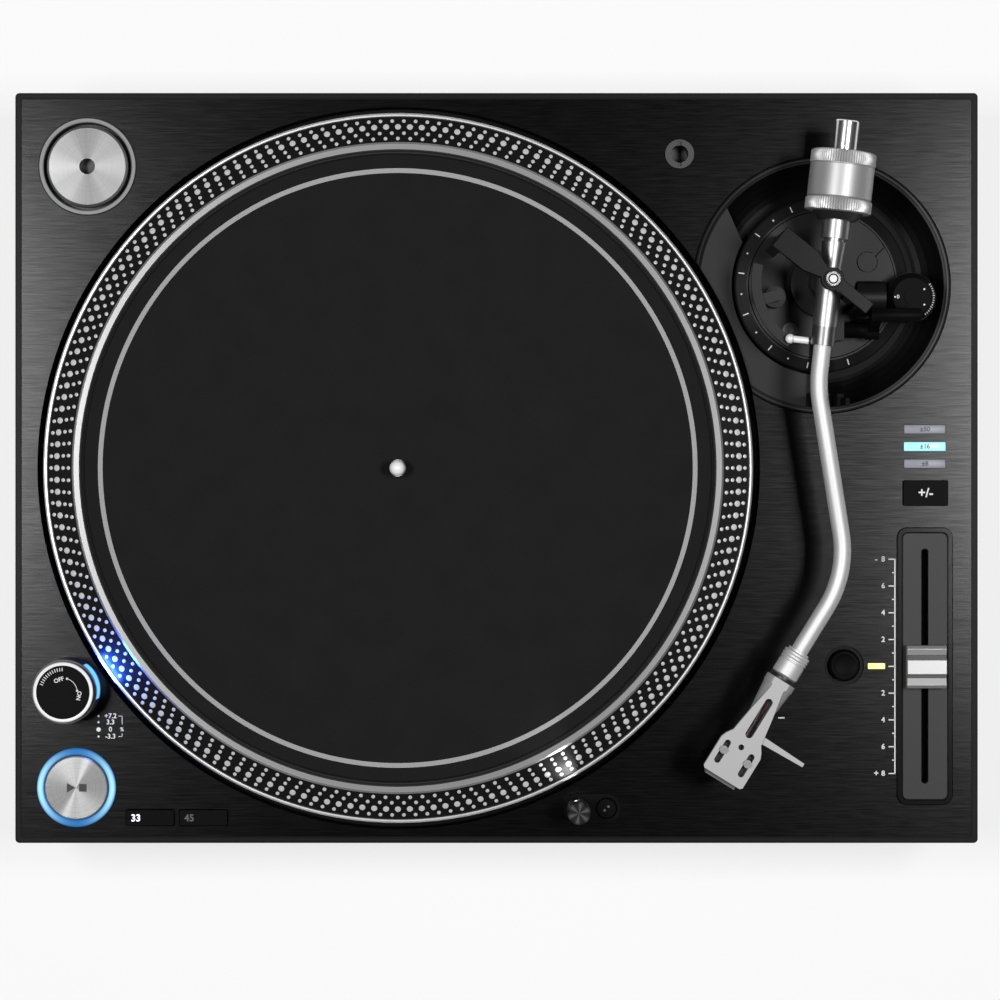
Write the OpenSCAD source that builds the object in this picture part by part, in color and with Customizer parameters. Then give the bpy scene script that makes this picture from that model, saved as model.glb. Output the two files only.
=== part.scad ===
// Direct-drive turntable with an S-shaped tonearm, as separate pieces.
// Frame: X to the right, Y to the rear, Z up; the origin is on the table under the middle of the body.

/* [Body] */
// Space between the platter and the body's left side
left_margin = 14.5; // [14:0.5:20]
// Space between the platter and the body's front and rear sides
end_margin = 10.5; // [10:0.5:20]
// Space between the arm's dish and the body's right side
dish_margin = 12.8; // [10:0.1:24]
// Space between the arm's dish and the body's rear side
dish_rear_gap = 29.8; // [28:0.1:36]
// Height of the top panel above the table
panel_z = 100; // [98:1:110]
// Radius of the body's upright corners
corner_r = 2; // [1:0.5:4]
// Width of the dark border round the top panel
border_w = 3.2; // [2.5:0.1:4.5]
// Thickness of the top panel
panel_t = 1.5; // [1:0.1:2.5]
// Thickness of the deck under the panel
deck_t = 3.5; // [2.5:0.1:4.5]
// Thickness of the upper chassis walls
wall_t = 5; // [4:0.5:7]
// Height of the upper chassis
chassis_h = 40.5; // [38:0.5:44]
// Inset of the lower cabinet from the upper chassis
base_inset = 3; // [1:0.5:3.5]
// Thickness of the lower cabinet's walls
base_wall_t = 8; // [6:0.5:10]
// Thickness of the lower cabinet's floor
base_floor_t = 6; // [4:0.5:8]
// Thickness of the bottom cover
cover_t = 2; // [1.5:0.1:3]
// Radius of a foot
foot_r = 29; // [24:1:34]
// Height of a foot
foot_h = 21.7; // [18:0.1:26]
// Radius of a foot's threaded stem
stem_r = 4; // [3:0.5:6]

/* [Platter] */
// Outer radius of the platter
platter_r = 166; // [155:0.5:180]
// Gap between the platter and the well round it
well_gap = 4; // [2:0.5:4]
// Width of the dotted bevel on the platter's rim
bevel_w = 12; // [8:0.5:14]
// Width of the bright lip inside the bevel
lip_w = 4.2; // [3:0.1:6]
// Height of the mat's seat above the top panel
seat_h = 15.5; // [14:0.5:18]
// Thickness of the felt mat
mat_t = 1.8; // [1:0.1:4]
// Radius of the spindle where it passes through a record
spindle_r = 3.575; // [3:0.005:3.6]
// Height of the spindle above the mat's seat
spindle_h = 15.5; // [12:0.5:20]
// Radius of the single adapter
adapter_r = 19; // [18:0.1:20]
// Height of the single adapter
adapter_h = 10; // [8:0.5:12]

/* [Controls] */
// Radius of the start button
start_r = 15; // [12:0.5:16]
// Travel of every push button
press = 1.2; // [0.8:0.1:1.5]
// Height of a button's top above the panel
button_h = 1.6; // [1.3:0.1:3]
// Width of a speed button
speed_w = 22.5; // [18:0.5:23.5]
// Depth of a speed button
speed_d = 7.3; // [6:0.1:9]
// Radius of the reset button
reset_r = 7.3; // [6:0.1:8]
// Width of the range button
range_w = 20.9; // [18:0.1:24]
// Depth of the range button
range_d = 11.6; // [9:0.1:13]
// Radius of the power knob
knob_r = 13.9; // [11:0.1:14.5]
// Height of the power knob's top above the panel
knob_top = 25; // [20:1:30]
// Radius of the stylus lamp's post
lamp_r = 5.3; // [4:0.1:5.6]
// Height of the raised stylus lamp above the panel
lamp_rise = 26; // [18:1:30]
// Length of the tempo fader's travel
fader_travel = 100; // [60:5:106]
// Width of the tempo slider's grip
grip_w = 18.5; // [14:0.5:20]
// Depth of the tempo slider's grip
grip_d = 20; // [14:0.5:24]
// Width of the tempo fader's frame
fader_w = 26.2; // [22:0.2:28]

/* [Tonearm] */
// Sideways distance from the platter's edge to the arm's pivot
pivot_gap = 33; // [31:0.5:36]
// Height of the arm's axis above the top panel
arm_h = 41; // [40:0.5:44]
// Radius of the arm's dish
dish_r = 60.7; // [58:0.1:62]
// Outer radius of the height ring
ring_r = 41; // [39:0.5:43]
// Radius of the arm tube
tube_r = 4; // [3.5:0.1:4.4]
// Wall of the arm tube
tube_wall = 0.8; // [0.5:0.1:1.5]
// Straight length from the pivot to the first bend
rear_run = 49; // [46:0.5:54]
// Straight length between the two bends
middle_run = 86.6; // [80:0.2:94]
// Straight length from the second bend to the lock collar
front_run = 43; // [38:0.5:48]
// Direction of the arm's rear part, turned inwards from straight ahead
arm_angle = 6.4; // [4:0.1:9]
// Direction of the tube between its bends, turned outwards
middle_angle = 9; // [6:0.5:12]
// Direction of the headshell, turned inwards
head_angle = 31.7; // [28:0.1:35]
// Direction of the tilt bearings and the yoke, turned from straight across
bearing_angle = 39; // [32:0.5:42]
// Radius of the first bend
rear_bend_r = 60; // [40:1:80]
// Radius of the second bend
front_bend_r = 50; // [30:1:60]
// Radius of the counterweight
weight_r = 15; // [12:0.1:16]
// Length of the counterweight without its dial
weight_l = 21.7; // [16:0.1:24]
// Travel of the counterweight along its shaft
weight_travel = 12; // [6:1:14]
// Length of the headshell's plate
shell_l = 53; // [48:0.5:58]
// Half width of the headshell's plate
shell_half_w = 10.4; // [9.5:0.1:12]
// Depth of the stylus tip below the arm's axis
stylus_drop = 22.4; // [20:0.1:22.8]

/* [Hidden] */
$fn = 72;

// Clearances: a running shaft, a moving piece beside another, a fixed piece in its hole
run_gap = 0.05;
free_gap = 0.35;
seat_gap = 0.1;
// How far a cutter runs past the face that it cuts
past = 1;

// The column of controls in front of the arm's dish: fader, range button, three lamps
fader_l = fader_travel + 30.5;
fader_front_gap = 18.05;
range_gap = 10.35;
lamp_size = [19.4, 4.1];
lamp_gap = 5.95;
lamp_pitch = 8.1;
lamp_count = 3;
dish_front_gap = 5.05;
range_y = fader_l / 2 + range_gap + range_d / 2;
lamp_y = range_y + range_d / 2 + lamp_gap + lamp_size[1] / 2;
column_d = fader_front_gap + fader_l / 2 + lamp_y + (lamp_count - 1) * lamp_pitch + lamp_size[1] / 2
    + dish_front_gap + 2 * dish_r + dish_rear_gap;

// The body's size, from the platter and the arm with that column beside it
body_w = left_margin + 2 * platter_r + pivot_gap + dish_r + dish_margin;
body_d = max(2 * (platter_r + end_margin), column_d);
left_edge = -body_w / 2;
right_edge = body_w / 2;
front_edge = -body_d / 2;
rear_edge = body_d / 2;
spindle_x = left_edge + left_margin + platter_r;
pivot_at = [right_edge - dish_margin - dish_r, rear_edge - dish_rear_gap - dish_r];

// Heights, from the table up
cover_z = foot_h + 0.3;
base_z = cover_z + cover_t;
base_floor_z = base_z + base_floor_t;
deck_z = panel_z - panel_t;
deck_under_z = deck_z - deck_t;
chassis_z = deck_z - chassis_h;
well_depth = 15;
well_floor_t = 3;
well_z = panel_z - well_depth;
base_w = body_w - 2 * base_inset;
base_d = body_d - 2 * base_inset;
base_rear_y = base_d / 2;
base_rear_in = base_rear_y - base_wall_t;

// Platter
well_r = platter_r + well_gap;
well_wall_t = 3;
seat_z = panel_z + seat_h;
rim_w = 2;
seat_r = platter_r - rim_w - bevel_w - lip_w - 0.4;
mat_r = seat_r - 0.6;
hub_r = 7;
shaft_r = 4;
hub_z = panel_z - 2;
bearing_top_z = hub_z - 1;
bearing_floor_z = panel_z - 34;
bearing_r = 13;
bearing_flange_r = 26;
bearing_flange_t = 3;
boss_z = panel_z + 1;
magnet_in_r = 40;
magnet_out_r = 73;
magnet_t = 6.8;
stator_board_t = 1.6;
coil_h = 6;
coil_r = 10.5;
coil_count = 12;
coil_circle_r = (magnet_in_r + magnet_out_r) / 2;

// A place outside the platter's edge, in the direction of an angle
function beside_platter(distance, angle) =
    [spindle_x, 0] + (platter_r + distance) * [cos(angle), sin(angle)];

// Places of the controls
start_ring_r = start_r + 3.5;
start_at = [left_edge + start_ring_r + 10.4, front_edge + start_ring_r + 7.7];
speed_at = [start_at[0] + start_ring_r + 4.95 + speed_w / 2, front_edge + 8.45 + speed_d / 2];
speed_pitch = speed_w + 2.6;
housing_r = knob_r + 1.1;
strobe_gap = 5.655;
strobe_angle = 213.861;
power_at = beside_platter(strobe_gap + housing_r, strobe_angle);
cup_r = adapter_r + 4;
cup_in_r = adapter_r + 1.5;
adapter_at = [left_edge + cup_r + 11.1, rear_edge - cup_r - 11.7];
lamp_plate_r = lamp_r + 1.5;
post_gap = 8.053;
post_angle = -62.217;
lamp_at = beside_platter(post_gap + lamp_plate_r, post_angle);
lamp_button_at = lamp_at + [13.4, 0];
lamp_button_r = 4.7;
socket_at = [pivot_at[0] - dish_r - 6.2, rear_edge - 28.8];
fader_at = [right_edge - 25, front_edge + fader_front_gap + fader_l / 2];
reset_at = fader_at + [-38, 0.3];
zero_lamp_at = fader_at + [-22.7, 0];
zero_lamp_size = [7.9, 2.6];
range_at = fader_at + [0.2, range_y];
lamp_rows = [for (i = [0 : lamp_count - 1]) lamp_y + i * lamp_pitch];
slot_l = fader_travel + 10;
slot_w = 3;
switch_board_t = 1.6;
switch_board_z = panel_z - 12;
switch_h = 0.7;
plunger_z = switch_board_z + switch_board_t + switch_h + press + 0.3;
cap_z = deck_z - 1.5;
housing_top_z = panel_z + knob_top - 4;
spigot_r = 12;
cup_floor_z = panel_z - 8.5;
bayonet_r = 4.05;
socket_depth = 14;
socket_flange_r = 6.8;

// Rear connections
jack_x = right_edge - 76.5;
inlet_x = left_edge + 76.5;
rear_z = (base_floor_z + chassis_z) / 2;
jack_r = 4.15;
jack_l = 8.5;
jack_pitch = 14;
rear_h = chassis_z - base_floor_z;
jack_window = [43, rear_h - 4];
inlet_window = [24, rear_h - 12];
inlet_mouth = [15, 8.5];

// Feet, and the supply board between the left feet and the middle, in front of the mains inlet
foot_inset = [46, 44];
foot_boss_r = stem_r + 8;
supply_size = [120, 90];
supply_post_h = 6;
supply_t = 1.6;
supply_at = [left_edge + foot_inset[0] + foot_boss_r + 3 + supply_size[0] / 2,
    base_rear_in - 28.5 - supply_size[1] / 2];

// The window in the strobe housing, facing the platter's rim
lens_angle = 20;
lens_span = 70;
lens_depth = 3;
lens_low = 5;
lens_high = 3;
lens_h = housing_top_z - panel_z - lens_low - lens_high;

// Tonearm
arm_z = panel_z + arm_h;
dish_floor_z = panel_z - 10;
dish_floor_t = 2.4;
dish_lip_z = panel_z + 1;
dish_in_r = dish_r - 2.4;
ring_in_r = ring_r - 6.3;
base_r = ring_in_r - 0.4;
plate_z = panel_z + 1.5;
base_stem_r = 22;
pillar_r = 15.5;
post_r = 7.5;
post_top_z = arm_z - 13;
gimbal_half_h = 10.5;
gimbal_half_w = 14;
gimbal_t = 5;
gimbal_bar = 4;
vertical_pin_r = 1.5;
tilt_pin_r = 1.2;
yoke_z = arm_z + gimbal_half_h + 0.4;
yoke_t = 4.6;
yoke_half_w = 5.5;
yoke_right = 21.6;
yoke_left = -31;
yoke_leg = 5;
leg_half_w = 4.5;
bar_half_w = 2.9;
neck_far = 13;
neck_near = 5;
cap_r = 3.7;
cap_h = 2.5;
skate_at = [40.6, -6.3];
skate_r = 11.4;
skate_base_z = panel_z + 3;
skate_top_z = panel_z + 13;
skate_axle_r = 3;
skate_rod_z = panel_z + 8;
skate_rod_r = 4.5;
skate_hub_r = 7.6;
cue_y = -21.5;
cue_z = panel_z + 11;
cue_r = 3.7;
cue_axle_r = 2;
cue_lean = 17;
cue_reach = 21;
cue_bar_r = 3.2;
rail_r = 33.2;
rail_w = 4.5;
rail_from = 166;
rail_to = 238;
lift_pin_r = 2.2;
lift_pin_drop = 4;
rail_top_z = arm_z - lift_pin_drop - lift_pin_r - 0.3;
rail_t = 3;
guide_angle = 195;
guide_distance = 24;
guide_r = 2.5;
guide_top_z = panel_z + 16;
lock_at = [21.2, 10.8];
lock_r = 4.6;
rest_distance = 54.6;
rest_angle = 268.2;
rest_floor_z = arm_z - tube_r - 0.4;
clip_axis_z = arm_z + 2.5;
clip_axis_x = tube_r + 2.1;
clip_pin_r = 1;
clip_barrel_r = 1.7;
sleeve_r = 5.75;
sleeve_l = 30;
collar_r = 6.5;
collar_from = 19.4;
collar_to = 27.7;
shaft_out_r = 5.7;
weight_front = collar_to + 0.3;
dial_from = weight_front + 3.4;
dial_l = 6.4;
weight_from = dial_from + dial_l + 0.1;
weight_to = weight_from + weight_l;
shaft_end = weight_to + weight_travel + 2.3;
bush_r = 7.5;
dial_hub_r = 9;
first_turn = middle_angle + arm_angle;
second_turn = middle_angle + head_angle;
first_tangent = rear_bend_r * tan(first_turn / 2);
second_tangent = front_bend_r * tan(second_turn / 2);
// The bends are drawn a hair thinner than the straight runs, which lap over their ends
bend_step = 0.02;
bend_lap = 0.3;
socket_r = 5.2;
lock_out_r = 6.4;
lock_l = 12.3;
shell_from = 14;
shell_to = shell_from + shell_l + 0.2;
screw_pitch = 12.7;
screw_slot_w = 2.9;
screw_from = shell_to - 15.2;
screw_to = shell_to - 6.2;
screw_place = shell_to - 11.7;
shell_top = 6.2;
shell_under = 2.2;
neck_r = 7.3;
lift_reach = 18.3;
stylus_place = shell_to - 3.2;
cartridge_from = shell_to - 19;
cartridge_to = shell_to + 1.8;
cartridge_under = -15.5;

// A rectangle with round corners, centred
module round_rect(size, r) {
    square([size[0] - 2 * r, size[1]], center = true);
    square([size[0], size[1] - 2 * r], center = true);
    for (x = [-1, 1], y = [-1, 1])
        translate([x * (size[0] / 2 - r), y * (size[1] / 2 - r)]) circle(r);
}

// A plate of that outline between two heights
module slab(size, r, low, high) {
    translate([0, 0, low]) linear_extrude(high - low) round_rect(size, r);
}

// An upright cylinder between two heights
module disc(r, low, high) {
    translate([0, 0, low]) cylinder(r = r, h = high - low);
}

// An upright ring between two heights
module ring(out_r, in_r, low, high) {
    translate([0, 0, low]) linear_extrude(high - low) difference() {
        circle(out_r);
        circle(in_r);
    }
}

// A cylinder along Y; near and far are its ends
module rod_y(r, near, far) {
    translate([0, near, 0]) rotate([-90, 0, 0]) cylinder(r = r, h = far - near);
}

// A pipe along Y
module pipe_y(out_r, in_r, near, far) {
    translate([0, near, 0]) rotate([-90, 0, 0]) linear_extrude(far - near) difference() {
        circle(out_r);
        circle(in_r);
    }
}

// A cone along Y
module cone_y(near_r, far_r, near, far) {
    translate([0, near, 0]) rotate([-90, 0, 0]) cylinder(r1 = near_r, r2 = far_r, h = far - near);
}

// A cylinder along X
module rod_x(r, near, far) {
    translate([near, 0, 0]) rotate([0, 90, 0]) cylinder(r = r, h = far - near);
}

// A box from its low corner to its high corner
module block(low, high) {
    translate(low) cube(high - low);
}

// A round-ended slot through Z, along Y
module slot_y(w, from, to, low, high) {
    for (y = [from, to]) translate([0, y, 0]) disc(w / 2, low, high);
    block([-w / 2, min(from, to), low], [w / 2, max(from, to), high]);
}

module at_spindle() translate([spindle_x, 0, 0]) children();
module at_pivot() translate([pivot_at[0], pivot_at[1], 0]) children();

// The arm's own frame: the origin on its axis over the pivot, -Y along its front part
module arm_frame() at_pivot() translate([0, 0, arm_z]) rotate([0, 0, -arm_angle]) children();

// The bearings' frame: X along the tilt axis
module bearing_frame() at_pivot() rotate([0, 0, -bearing_angle]) children();

// One bend of the tube, and what follows it
module bend(turn, bend_r) {
    side = turn > 0 ? 1 : -1;
    size = abs(turn);
    translate([side * bend_r, 0, 0])
        rotate([0, 0, side > 0 ? 180 : -size])
            rotate_extrude(angle = size) translate([bend_r, 0]) difference() {
                circle(tube_r - bend_step);
                circle(tube_r - tube_wall + bend_step);
            }
}
module after_bend(turn, bend_r) {
    side = turn > 0 ? 1 : -1;
    size = abs(turn);
    translate([side * bend_r * (1 - cos(size)), -bend_r * sin(size), 0]) rotate([0, 0, turn]) children();
}

// The tube from the sleeve to the lock collar
module tube_run() {
    in_r = tube_r - tube_wall;
    first = rear_run - first_tangent;
    second = middle_run - first_tangent - second_tangent;
    third = front_run - second_tangent;
    pipe_y(tube_r, in_r, -first - bend_lap, -sleeve_l);
    translate([0, -first, 0]) {
        bend(first_turn, rear_bend_r);
        after_bend(first_turn, rear_bend_r) {
            pipe_y(tube_r, in_r, -second - bend_lap, bend_lap);
            translate([0, -second, 0]) {
                bend(-second_turn, front_bend_r);
                after_bend(-second_turn, front_bend_r) pipe_y(tube_r, in_r, -third, bend_lap);
            }
        }
    }
}

// The headshell's frame: its origin where the lock collar starts, -Y towards the tip
module head_frame() {
    first = rear_run - first_tangent;
    second = middle_run - first_tangent - second_tangent;
    third = front_run - second_tangent;
    arm_frame() translate([0, -first, 0]) after_bend(first_turn, rear_bend_r)
        translate([0, -second, 0]) after_bend(-second_turn, front_bend_r)
            translate([0, -third, 0]) children();
}

// The pill outline of the stylus lamp's plate, centred on the lamp
module lamp_pill(r) {
    reach = lamp_button_at[0] - lamp_at[0];
    circle(r);
    translate([reach, 0]) circle(r);
    translate([0, -r]) square([reach, 2 * r]);
}

// Every opening that both the panel and the deck leave for the controls; grow widens them
module control_holes(grow) {
    translate(start_at) circle(start_r + free_gap + grow);
    for (i = [0, 1]) translate(speed_at + [i * speed_pitch, 0])
        round_rect([speed_w + 2 * (free_gap + grow), speed_d + 2 * (free_gap + grow)], 1);
    translate(range_at) round_rect([range_w + 2 * (free_gap + grow), range_d + 2 * (free_gap + grow)], 1);
    translate(power_at) circle(spigot_r + seat_gap + grow);
}

// Bodywork

module top_panel() color("dimgray") {
    hole = start_ring_r - start_r - free_gap + seat_gap;
    difference() {
        slab([body_w - 2 * border_w, body_d - 2 * border_w], 1, deck_z, panel_z);
        translate([0, 0, deck_z - past]) linear_extrude(panel_t + 2 * past) {
            control_holes(0);
            translate(start_at) circle(start_r + free_gap + hole);
            at_spindle() circle(well_r);
            translate(pivot_at) circle(dish_r + seat_gap);
            translate(adapter_at) circle(cup_r + seat_gap);
            translate(lamp_at) lamp_pill(lamp_plate_r + seat_gap);
            translate(socket_at) circle(socket_flange_r + seat_gap);
            translate(fader_at) round_rect([fader_w + 2 * seat_gap, fader_l + 2 * seat_gap], 5);
            translate(reset_at) circle(reset_r + 2.1);
            for (y = lamp_rows) translate(fader_at + [0, y])
                square(lamp_size + 2 * [seat_gap, seat_gap], center = true);
            translate(zero_lamp_at) square(zero_lamp_size + 2 * [seat_gap, seat_gap], center = true);
        }
    }
}

// Places where the switch boards hang from the deck
function board_bosses() = [
    start_at + [-18, 17.5], start_at + [16.5, 12], speed_at + [36, 0.6] + [4.5, 0],
    reset_at + [-9, 60], range_at + [-40, 25], range_at + [-17, 0], reset_at + [9, -8]
];

module top_chassis() color("#1c1c1e") {
    rim_z = panel_z - 0.3;
    bevel = 0.8;
    difference() {
        union() {
            difference() {
                union() {
                    slab([body_w, body_d], corner_r, chassis_z, rim_z - bevel);
                    slab([body_w - 2 * bevel, body_d - 2 * bevel], corner_r, chassis_z, rim_z);
                }
                slab([body_w - 2 * border_w + 2 * seat_gap, body_d - 2 * border_w + 2 * seat_gap], 1,
                    deck_z, panel_z + past);
                slab([body_w - 2 * wall_t, body_d - 2 * wall_t], corner_r, chassis_z - past, deck_under_z);
            }
            at_spindle() disc(well_r + well_wall_t, well_z - well_floor_t, deck_z);
            for (p = board_bosses()) translate(p)
                disc(3.5, switch_board_z + switch_board_t, deck_under_z + past);
        }
        at_spindle() {
            disc(well_r, well_z, panel_z + past);
            disc(bearing_r + free_gap, well_z - well_floor_t - past, well_z + past);
        }
        difference() {
            at_pivot() disc(dish_in_r - 0.6, chassis_z, deck_z + past);
            at_spindle() disc(well_r + well_wall_t, chassis_z - past, panel_z + past);
        }
        translate([0, 0, deck_under_z - past]) linear_extrude(deck_t + 2 * past) {
            control_holes(0);
            translate(adapter_at) circle(cup_in_r + 1 + seat_gap);
            translate(lamp_at) circle(lamp_plate_r + seat_gap);
            translate(lamp_button_at) circle(lamp_button_r + 1 + seat_gap);
            translate(socket_at) circle(bayonet_r + 2 + seat_gap);
            translate(fader_at) square([slot_w + 2, slot_l + 2], center = true);
            translate(reset_at) circle(reset_r + free_gap);
        }
    }
}

module base_cabinet() color("#141415") {
    difference() {
        union() {
            difference() {
                slab([base_w, base_d], corner_r, base_z, chassis_z);
                slab([base_w, base_d] - 2 * base_wall_t * [1, 1], corner_r, base_floor_z, chassis_z + past);
            }
            for (p = foot_places()) translate(p) disc(foot_boss_r, base_z, base_floor_z + 14);
            for (p = supply_posts()) translate(p) disc(4, base_z, base_floor_z + supply_post_h);
        }
        for (p = foot_places()) translate(p) disc(stem_r + run_gap, base_z - past, base_floor_z + 12);
        for (p = cover_screws()) translate(p) disc(1.6, base_z - past, base_z + 4.2);
        translate([jack_x, base_rear_y, rear_z])
            cube([jack_window[0], 2 * base_wall_t + past, jack_window[1]], center = true);
        translate([inlet_x, base_rear_y, rear_z])
            cube([inlet_window[0], 2 * base_wall_t + past, inlet_window[1]], center = true);
    }
}

function foot_place(x, y) = [x * (body_w / 2 - foot_inset[0]), y * (body_d / 2 - foot_inset[1])];
function foot_places() = [for (x = [-1, 1], y = [-1, 1]) foot_place(x, y)];
function cover_screws() = [for (x = [-1, -0.33, 0.33, 1], y = [-1, 1])
    [x * (base_w / 2 - 14), y * (base_d / 2 - 14)]];

module bottom_cover() color("#101011") {
    difference() {
        slab([base_w - 8, base_d - 8], corner_r, cover_z, base_z);
        for (p = foot_places()) translate(p) disc(stem_r + 1.5, cover_z - past, base_z + past);
        for (p = cover_screws()) translate(p) disc(1.7, cover_z - past, base_z + past);
    }
}

module bottom_screws() color("gray") {
    for (p = cover_screws()) translate(p) {
        disc(1.5, cover_z - 0.1, base_z + 4);
        difference() {
            disc(3, cover_z - 1.6, cover_z);
            block([-2, -0.35, cover_z - 1.6 - past], [2, 0.35, cover_z - 0.8]);
            block([-0.35, -2, cover_z - 1.6 - past], [0.35, 2, cover_z - 0.8]);
        }
    }
}

// One foot: a ribbed cup with a soft sole and its threaded stem
module foot(x, y) color("#202022") translate(foot_place(x, y)) {
    rotate_extrude() polygon([
        [0, 0], [foot_r - 3, 0], [foot_r - 2, 1], [foot_r - 2, 4], [foot_r - 3, 4.6],
        [foot_r - 3, 6], [foot_r - 1, 6.6], [foot_r, 8], [foot_r, foot_h - 2], [foot_r - 2, foot_h],
        [stem_r, foot_h], [stem_r, base_floor_z + 8], [0, base_floor_z + 8]
    ]);
}
module foot_front_left() foot(-1, -1);
module foot_front_right() foot(1, -1);
module foot_rear_left() foot(-1, 1);
module foot_rear_right() foot(1, 1);

// Motor and electronics

module bearing_housing() color("goldenrod") at_spindle() {
    difference() {
        union() {
            disc(bearing_r, bearing_floor_z - 4, bearing_top_z);
            disc(bearing_flange_r, well_z, well_z + bearing_flange_t);
        }
        disc(shaft_r + run_gap, bearing_floor_z, bearing_top_z + past);
    }
}

module motor_stator() color("darkgreen") at_spindle() {
    coil_z = well_z + stator_board_t;
    ring(magnet_out_r + 5, bearing_flange_r + 1, well_z, coil_z);
    for (i = [0 : coil_count - 1]) rotate(i * 360 / coil_count) translate([coil_circle_r, 0])
        ring(coil_r, 4, coil_z, coil_z + coil_h);
}

module switch_boards() color("darkgreen") {
    corner = speed_at + [speed_pitch + speed_w / 2 + 4.75, -speed_d / 2 - 3.35];
    top = switch_board_z + switch_board_t;
    translate([0, 0, switch_board_z]) linear_extrude(switch_board_t) {
        polygon([
            [left_edge + 8, corner[1]], corner, corner + [0, 13],
            [start_at[0] + 20.5, corner[1] + 13], start_at + [20.5, 16],
            [start_at[0] + 20.5, start_at[1] + 21.5], [left_edge + 8, start_at[1] + 21.5]
        ]);
        polygon([
            reset_at + [-13, -13], reset_at + [13, -13], reset_at + [13, 67],
            [right_edge - 9, reset_at[1] + 67], [right_edge - 9, range_at[1] + 34],
            [reset_at[0] - 13, range_at[1] + 34]
        ]);
    }
    for (p = [start_at, speed_at, speed_at + [speed_pitch, 0], reset_at, range_at])
        translate(p) slab([6, 6], 0.5, top, top + switch_h);
}

function supply_posts() = [for (x = [-1, 1], y = [-1, 1])
    supply_at + [x * (supply_size[0] / 2 - 8), y * (supply_size[1] / 2 - 8)]];

module power_supply_board() color("darkgreen") {
    low = base_floor_z + supply_post_h;
    top = low + supply_t;
    half_w = supply_size[0] / 2;
    half_d = supply_size[1] / 2;
    transformer_h = 24;
    capacitor_h = 18;
    sink_h = 20;
    translate(supply_at) {
        slab(supply_size, 2, low, top);
        translate([-0.42 * half_w, 0.11 * half_d])
            slab([0.7 * half_w, 0.8 * half_d], 2, top, top + transformer_h);
        for (x = [0.3, 0.6], y = [-0.45, 0.18]) translate([x * half_w, y * half_d])
            disc(0.12 * half_w, top, top + capacitor_h);
        translate([0.42 * half_w, 0.7 * half_d])
            slab([0.73 * half_w, 0.13 * half_d], 0.5, top, top + sink_h);
    }
}

module jack_panel() color("#18181a") {
    plate_t = 2;
    face_y = base_rear_in;
    translate([jack_x, face_y, rear_z]) {
        difference() {
            translate([0, -plate_t / 2, 0])
                cube([jack_window[0] + 10, plate_t, jack_window[1] + 4], center = true);
            translate([jack_pitch, 0, 0]) rod_y(2 + run_gap, -plate_t - past, past);
        }
        for (i = [-1, 0]) translate([i * jack_pitch, 0, 0]) difference() {
            union() {
                rod_y(jack_r, 0, jack_l);
                rod_y(jack_r + 1.6, 0, 1.5);
            }
            rod_y(1.6, 1, jack_l + past);
        }
    }
}

module ground_screw() color("silver") {
    translate([jack_x + jack_pitch, base_rear_in, rear_z]) {
        rod_y(2, -7, 0.5);
        rod_y(4.4, 0.3, 5.5);
        rod_y(3, 5.5, 7);
    }
}

module mains_inlet() color("#101010") {
    wall = base_wall_t;
    plug = inlet_window - 2 * seat_gap * [1, 1];
    translate([inlet_x, base_rear_in, rear_z]) {
        difference() {
            union() {
                translate([0, wall / 2, 0])
                    cube([plug[0], wall, plug[1]], center = true);
                translate([0, -8, 0])
                    cube([inlet_window[0] + 8, 16, inlet_window[1] + 4], center = true);
            }
            translate([0, wall - 7, 0]) rotate([-90, 0, 0]) linear_extrude(14 + past, center = true)
                round_rect(inlet_mouth, inlet_mouth[1] / 2 - 0.5);
        }
        for (x = [-1, 1]) translate([x * 4.3, 0, 0]) rod_y(1.2, wall - 15.5, wall - 6);
    }
}

// Controls on the deck

module strobe_housing() color("#161618") translate(power_at) {
    difference() {
        union() {
            disc(housing_r, panel_z, housing_top_z);
            disc(spigot_r, deck_under_z, panel_z + past);
        }
        disc(3 + run_gap, deck_under_z + 2, housing_top_z + past);
        lens_cut(0);
    }
}

module lens_cut(gap) {
    rotate(lens_angle - lens_span / 2 + gap)
        rotate_extrude(angle = lens_span - 2 * gap)
            translate([housing_r - lens_depth + gap / 10, panel_z + lens_low + gap / 10])
                square([lens_depth + (gap > 0 ? 0 : past), lens_h - gap / 5]);
}
module strobe_lens() color("deepskyblue") translate(power_at) lens_cut(0.5);

module power_knob() color("#141416") translate(power_at) {
    low = housing_top_z + 0.3;
    top = panel_z + knob_top;
    disc(3, deck_under_z + 4, low + past);
    rotate_extrude() polygon([
        [0, low], [knob_r - 0.6, low], [knob_r, low + 0.6], [knob_r, top - 0.5], [knob_r - 0.5, top],
        [knob_r - 1.6, top], [knob_r - 1.8, top - 0.4], [0, top - 0.4]
    ]);
}

module start_ring() color("deepskyblue") translate(start_at) {
    in_r = start_r + free_gap;
    rotate_extrude() polygon([
        [in_r, deck_z], [start_ring_r, deck_z], [start_ring_r, panel_z + 0.4],
        [start_ring_r - 0.6, panel_z + 1], [in_r + 0.3, panel_z + 1], [in_r, panel_z + 0.7]
    ]);
}

module start_button() color("silver") translate(start_at) {
    top = panel_z + button_h;
    rotate_extrude() polygon([
        [0, plunger_z], [4, plunger_z], [4, cap_z], [start_r, cap_z], [start_r, top - 0.6],
        [start_r - 0.6, top], [0, top]
    ]);
}

// A rectangular push button with its plunger
module key_cap(size) {
    slab(size, 0.6, cap_z, panel_z + button_h);
    disc(2, plunger_z, cap_z + past);
}
module button_33() color("#121214") translate(speed_at) key_cap([speed_w, speed_d]);
module button_45() color("#121214") translate(speed_at + [speed_pitch, 0]) key_cap([speed_w, speed_d]);
module range_button() color("#121214") translate(range_at) key_cap([range_w, range_d]);

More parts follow.
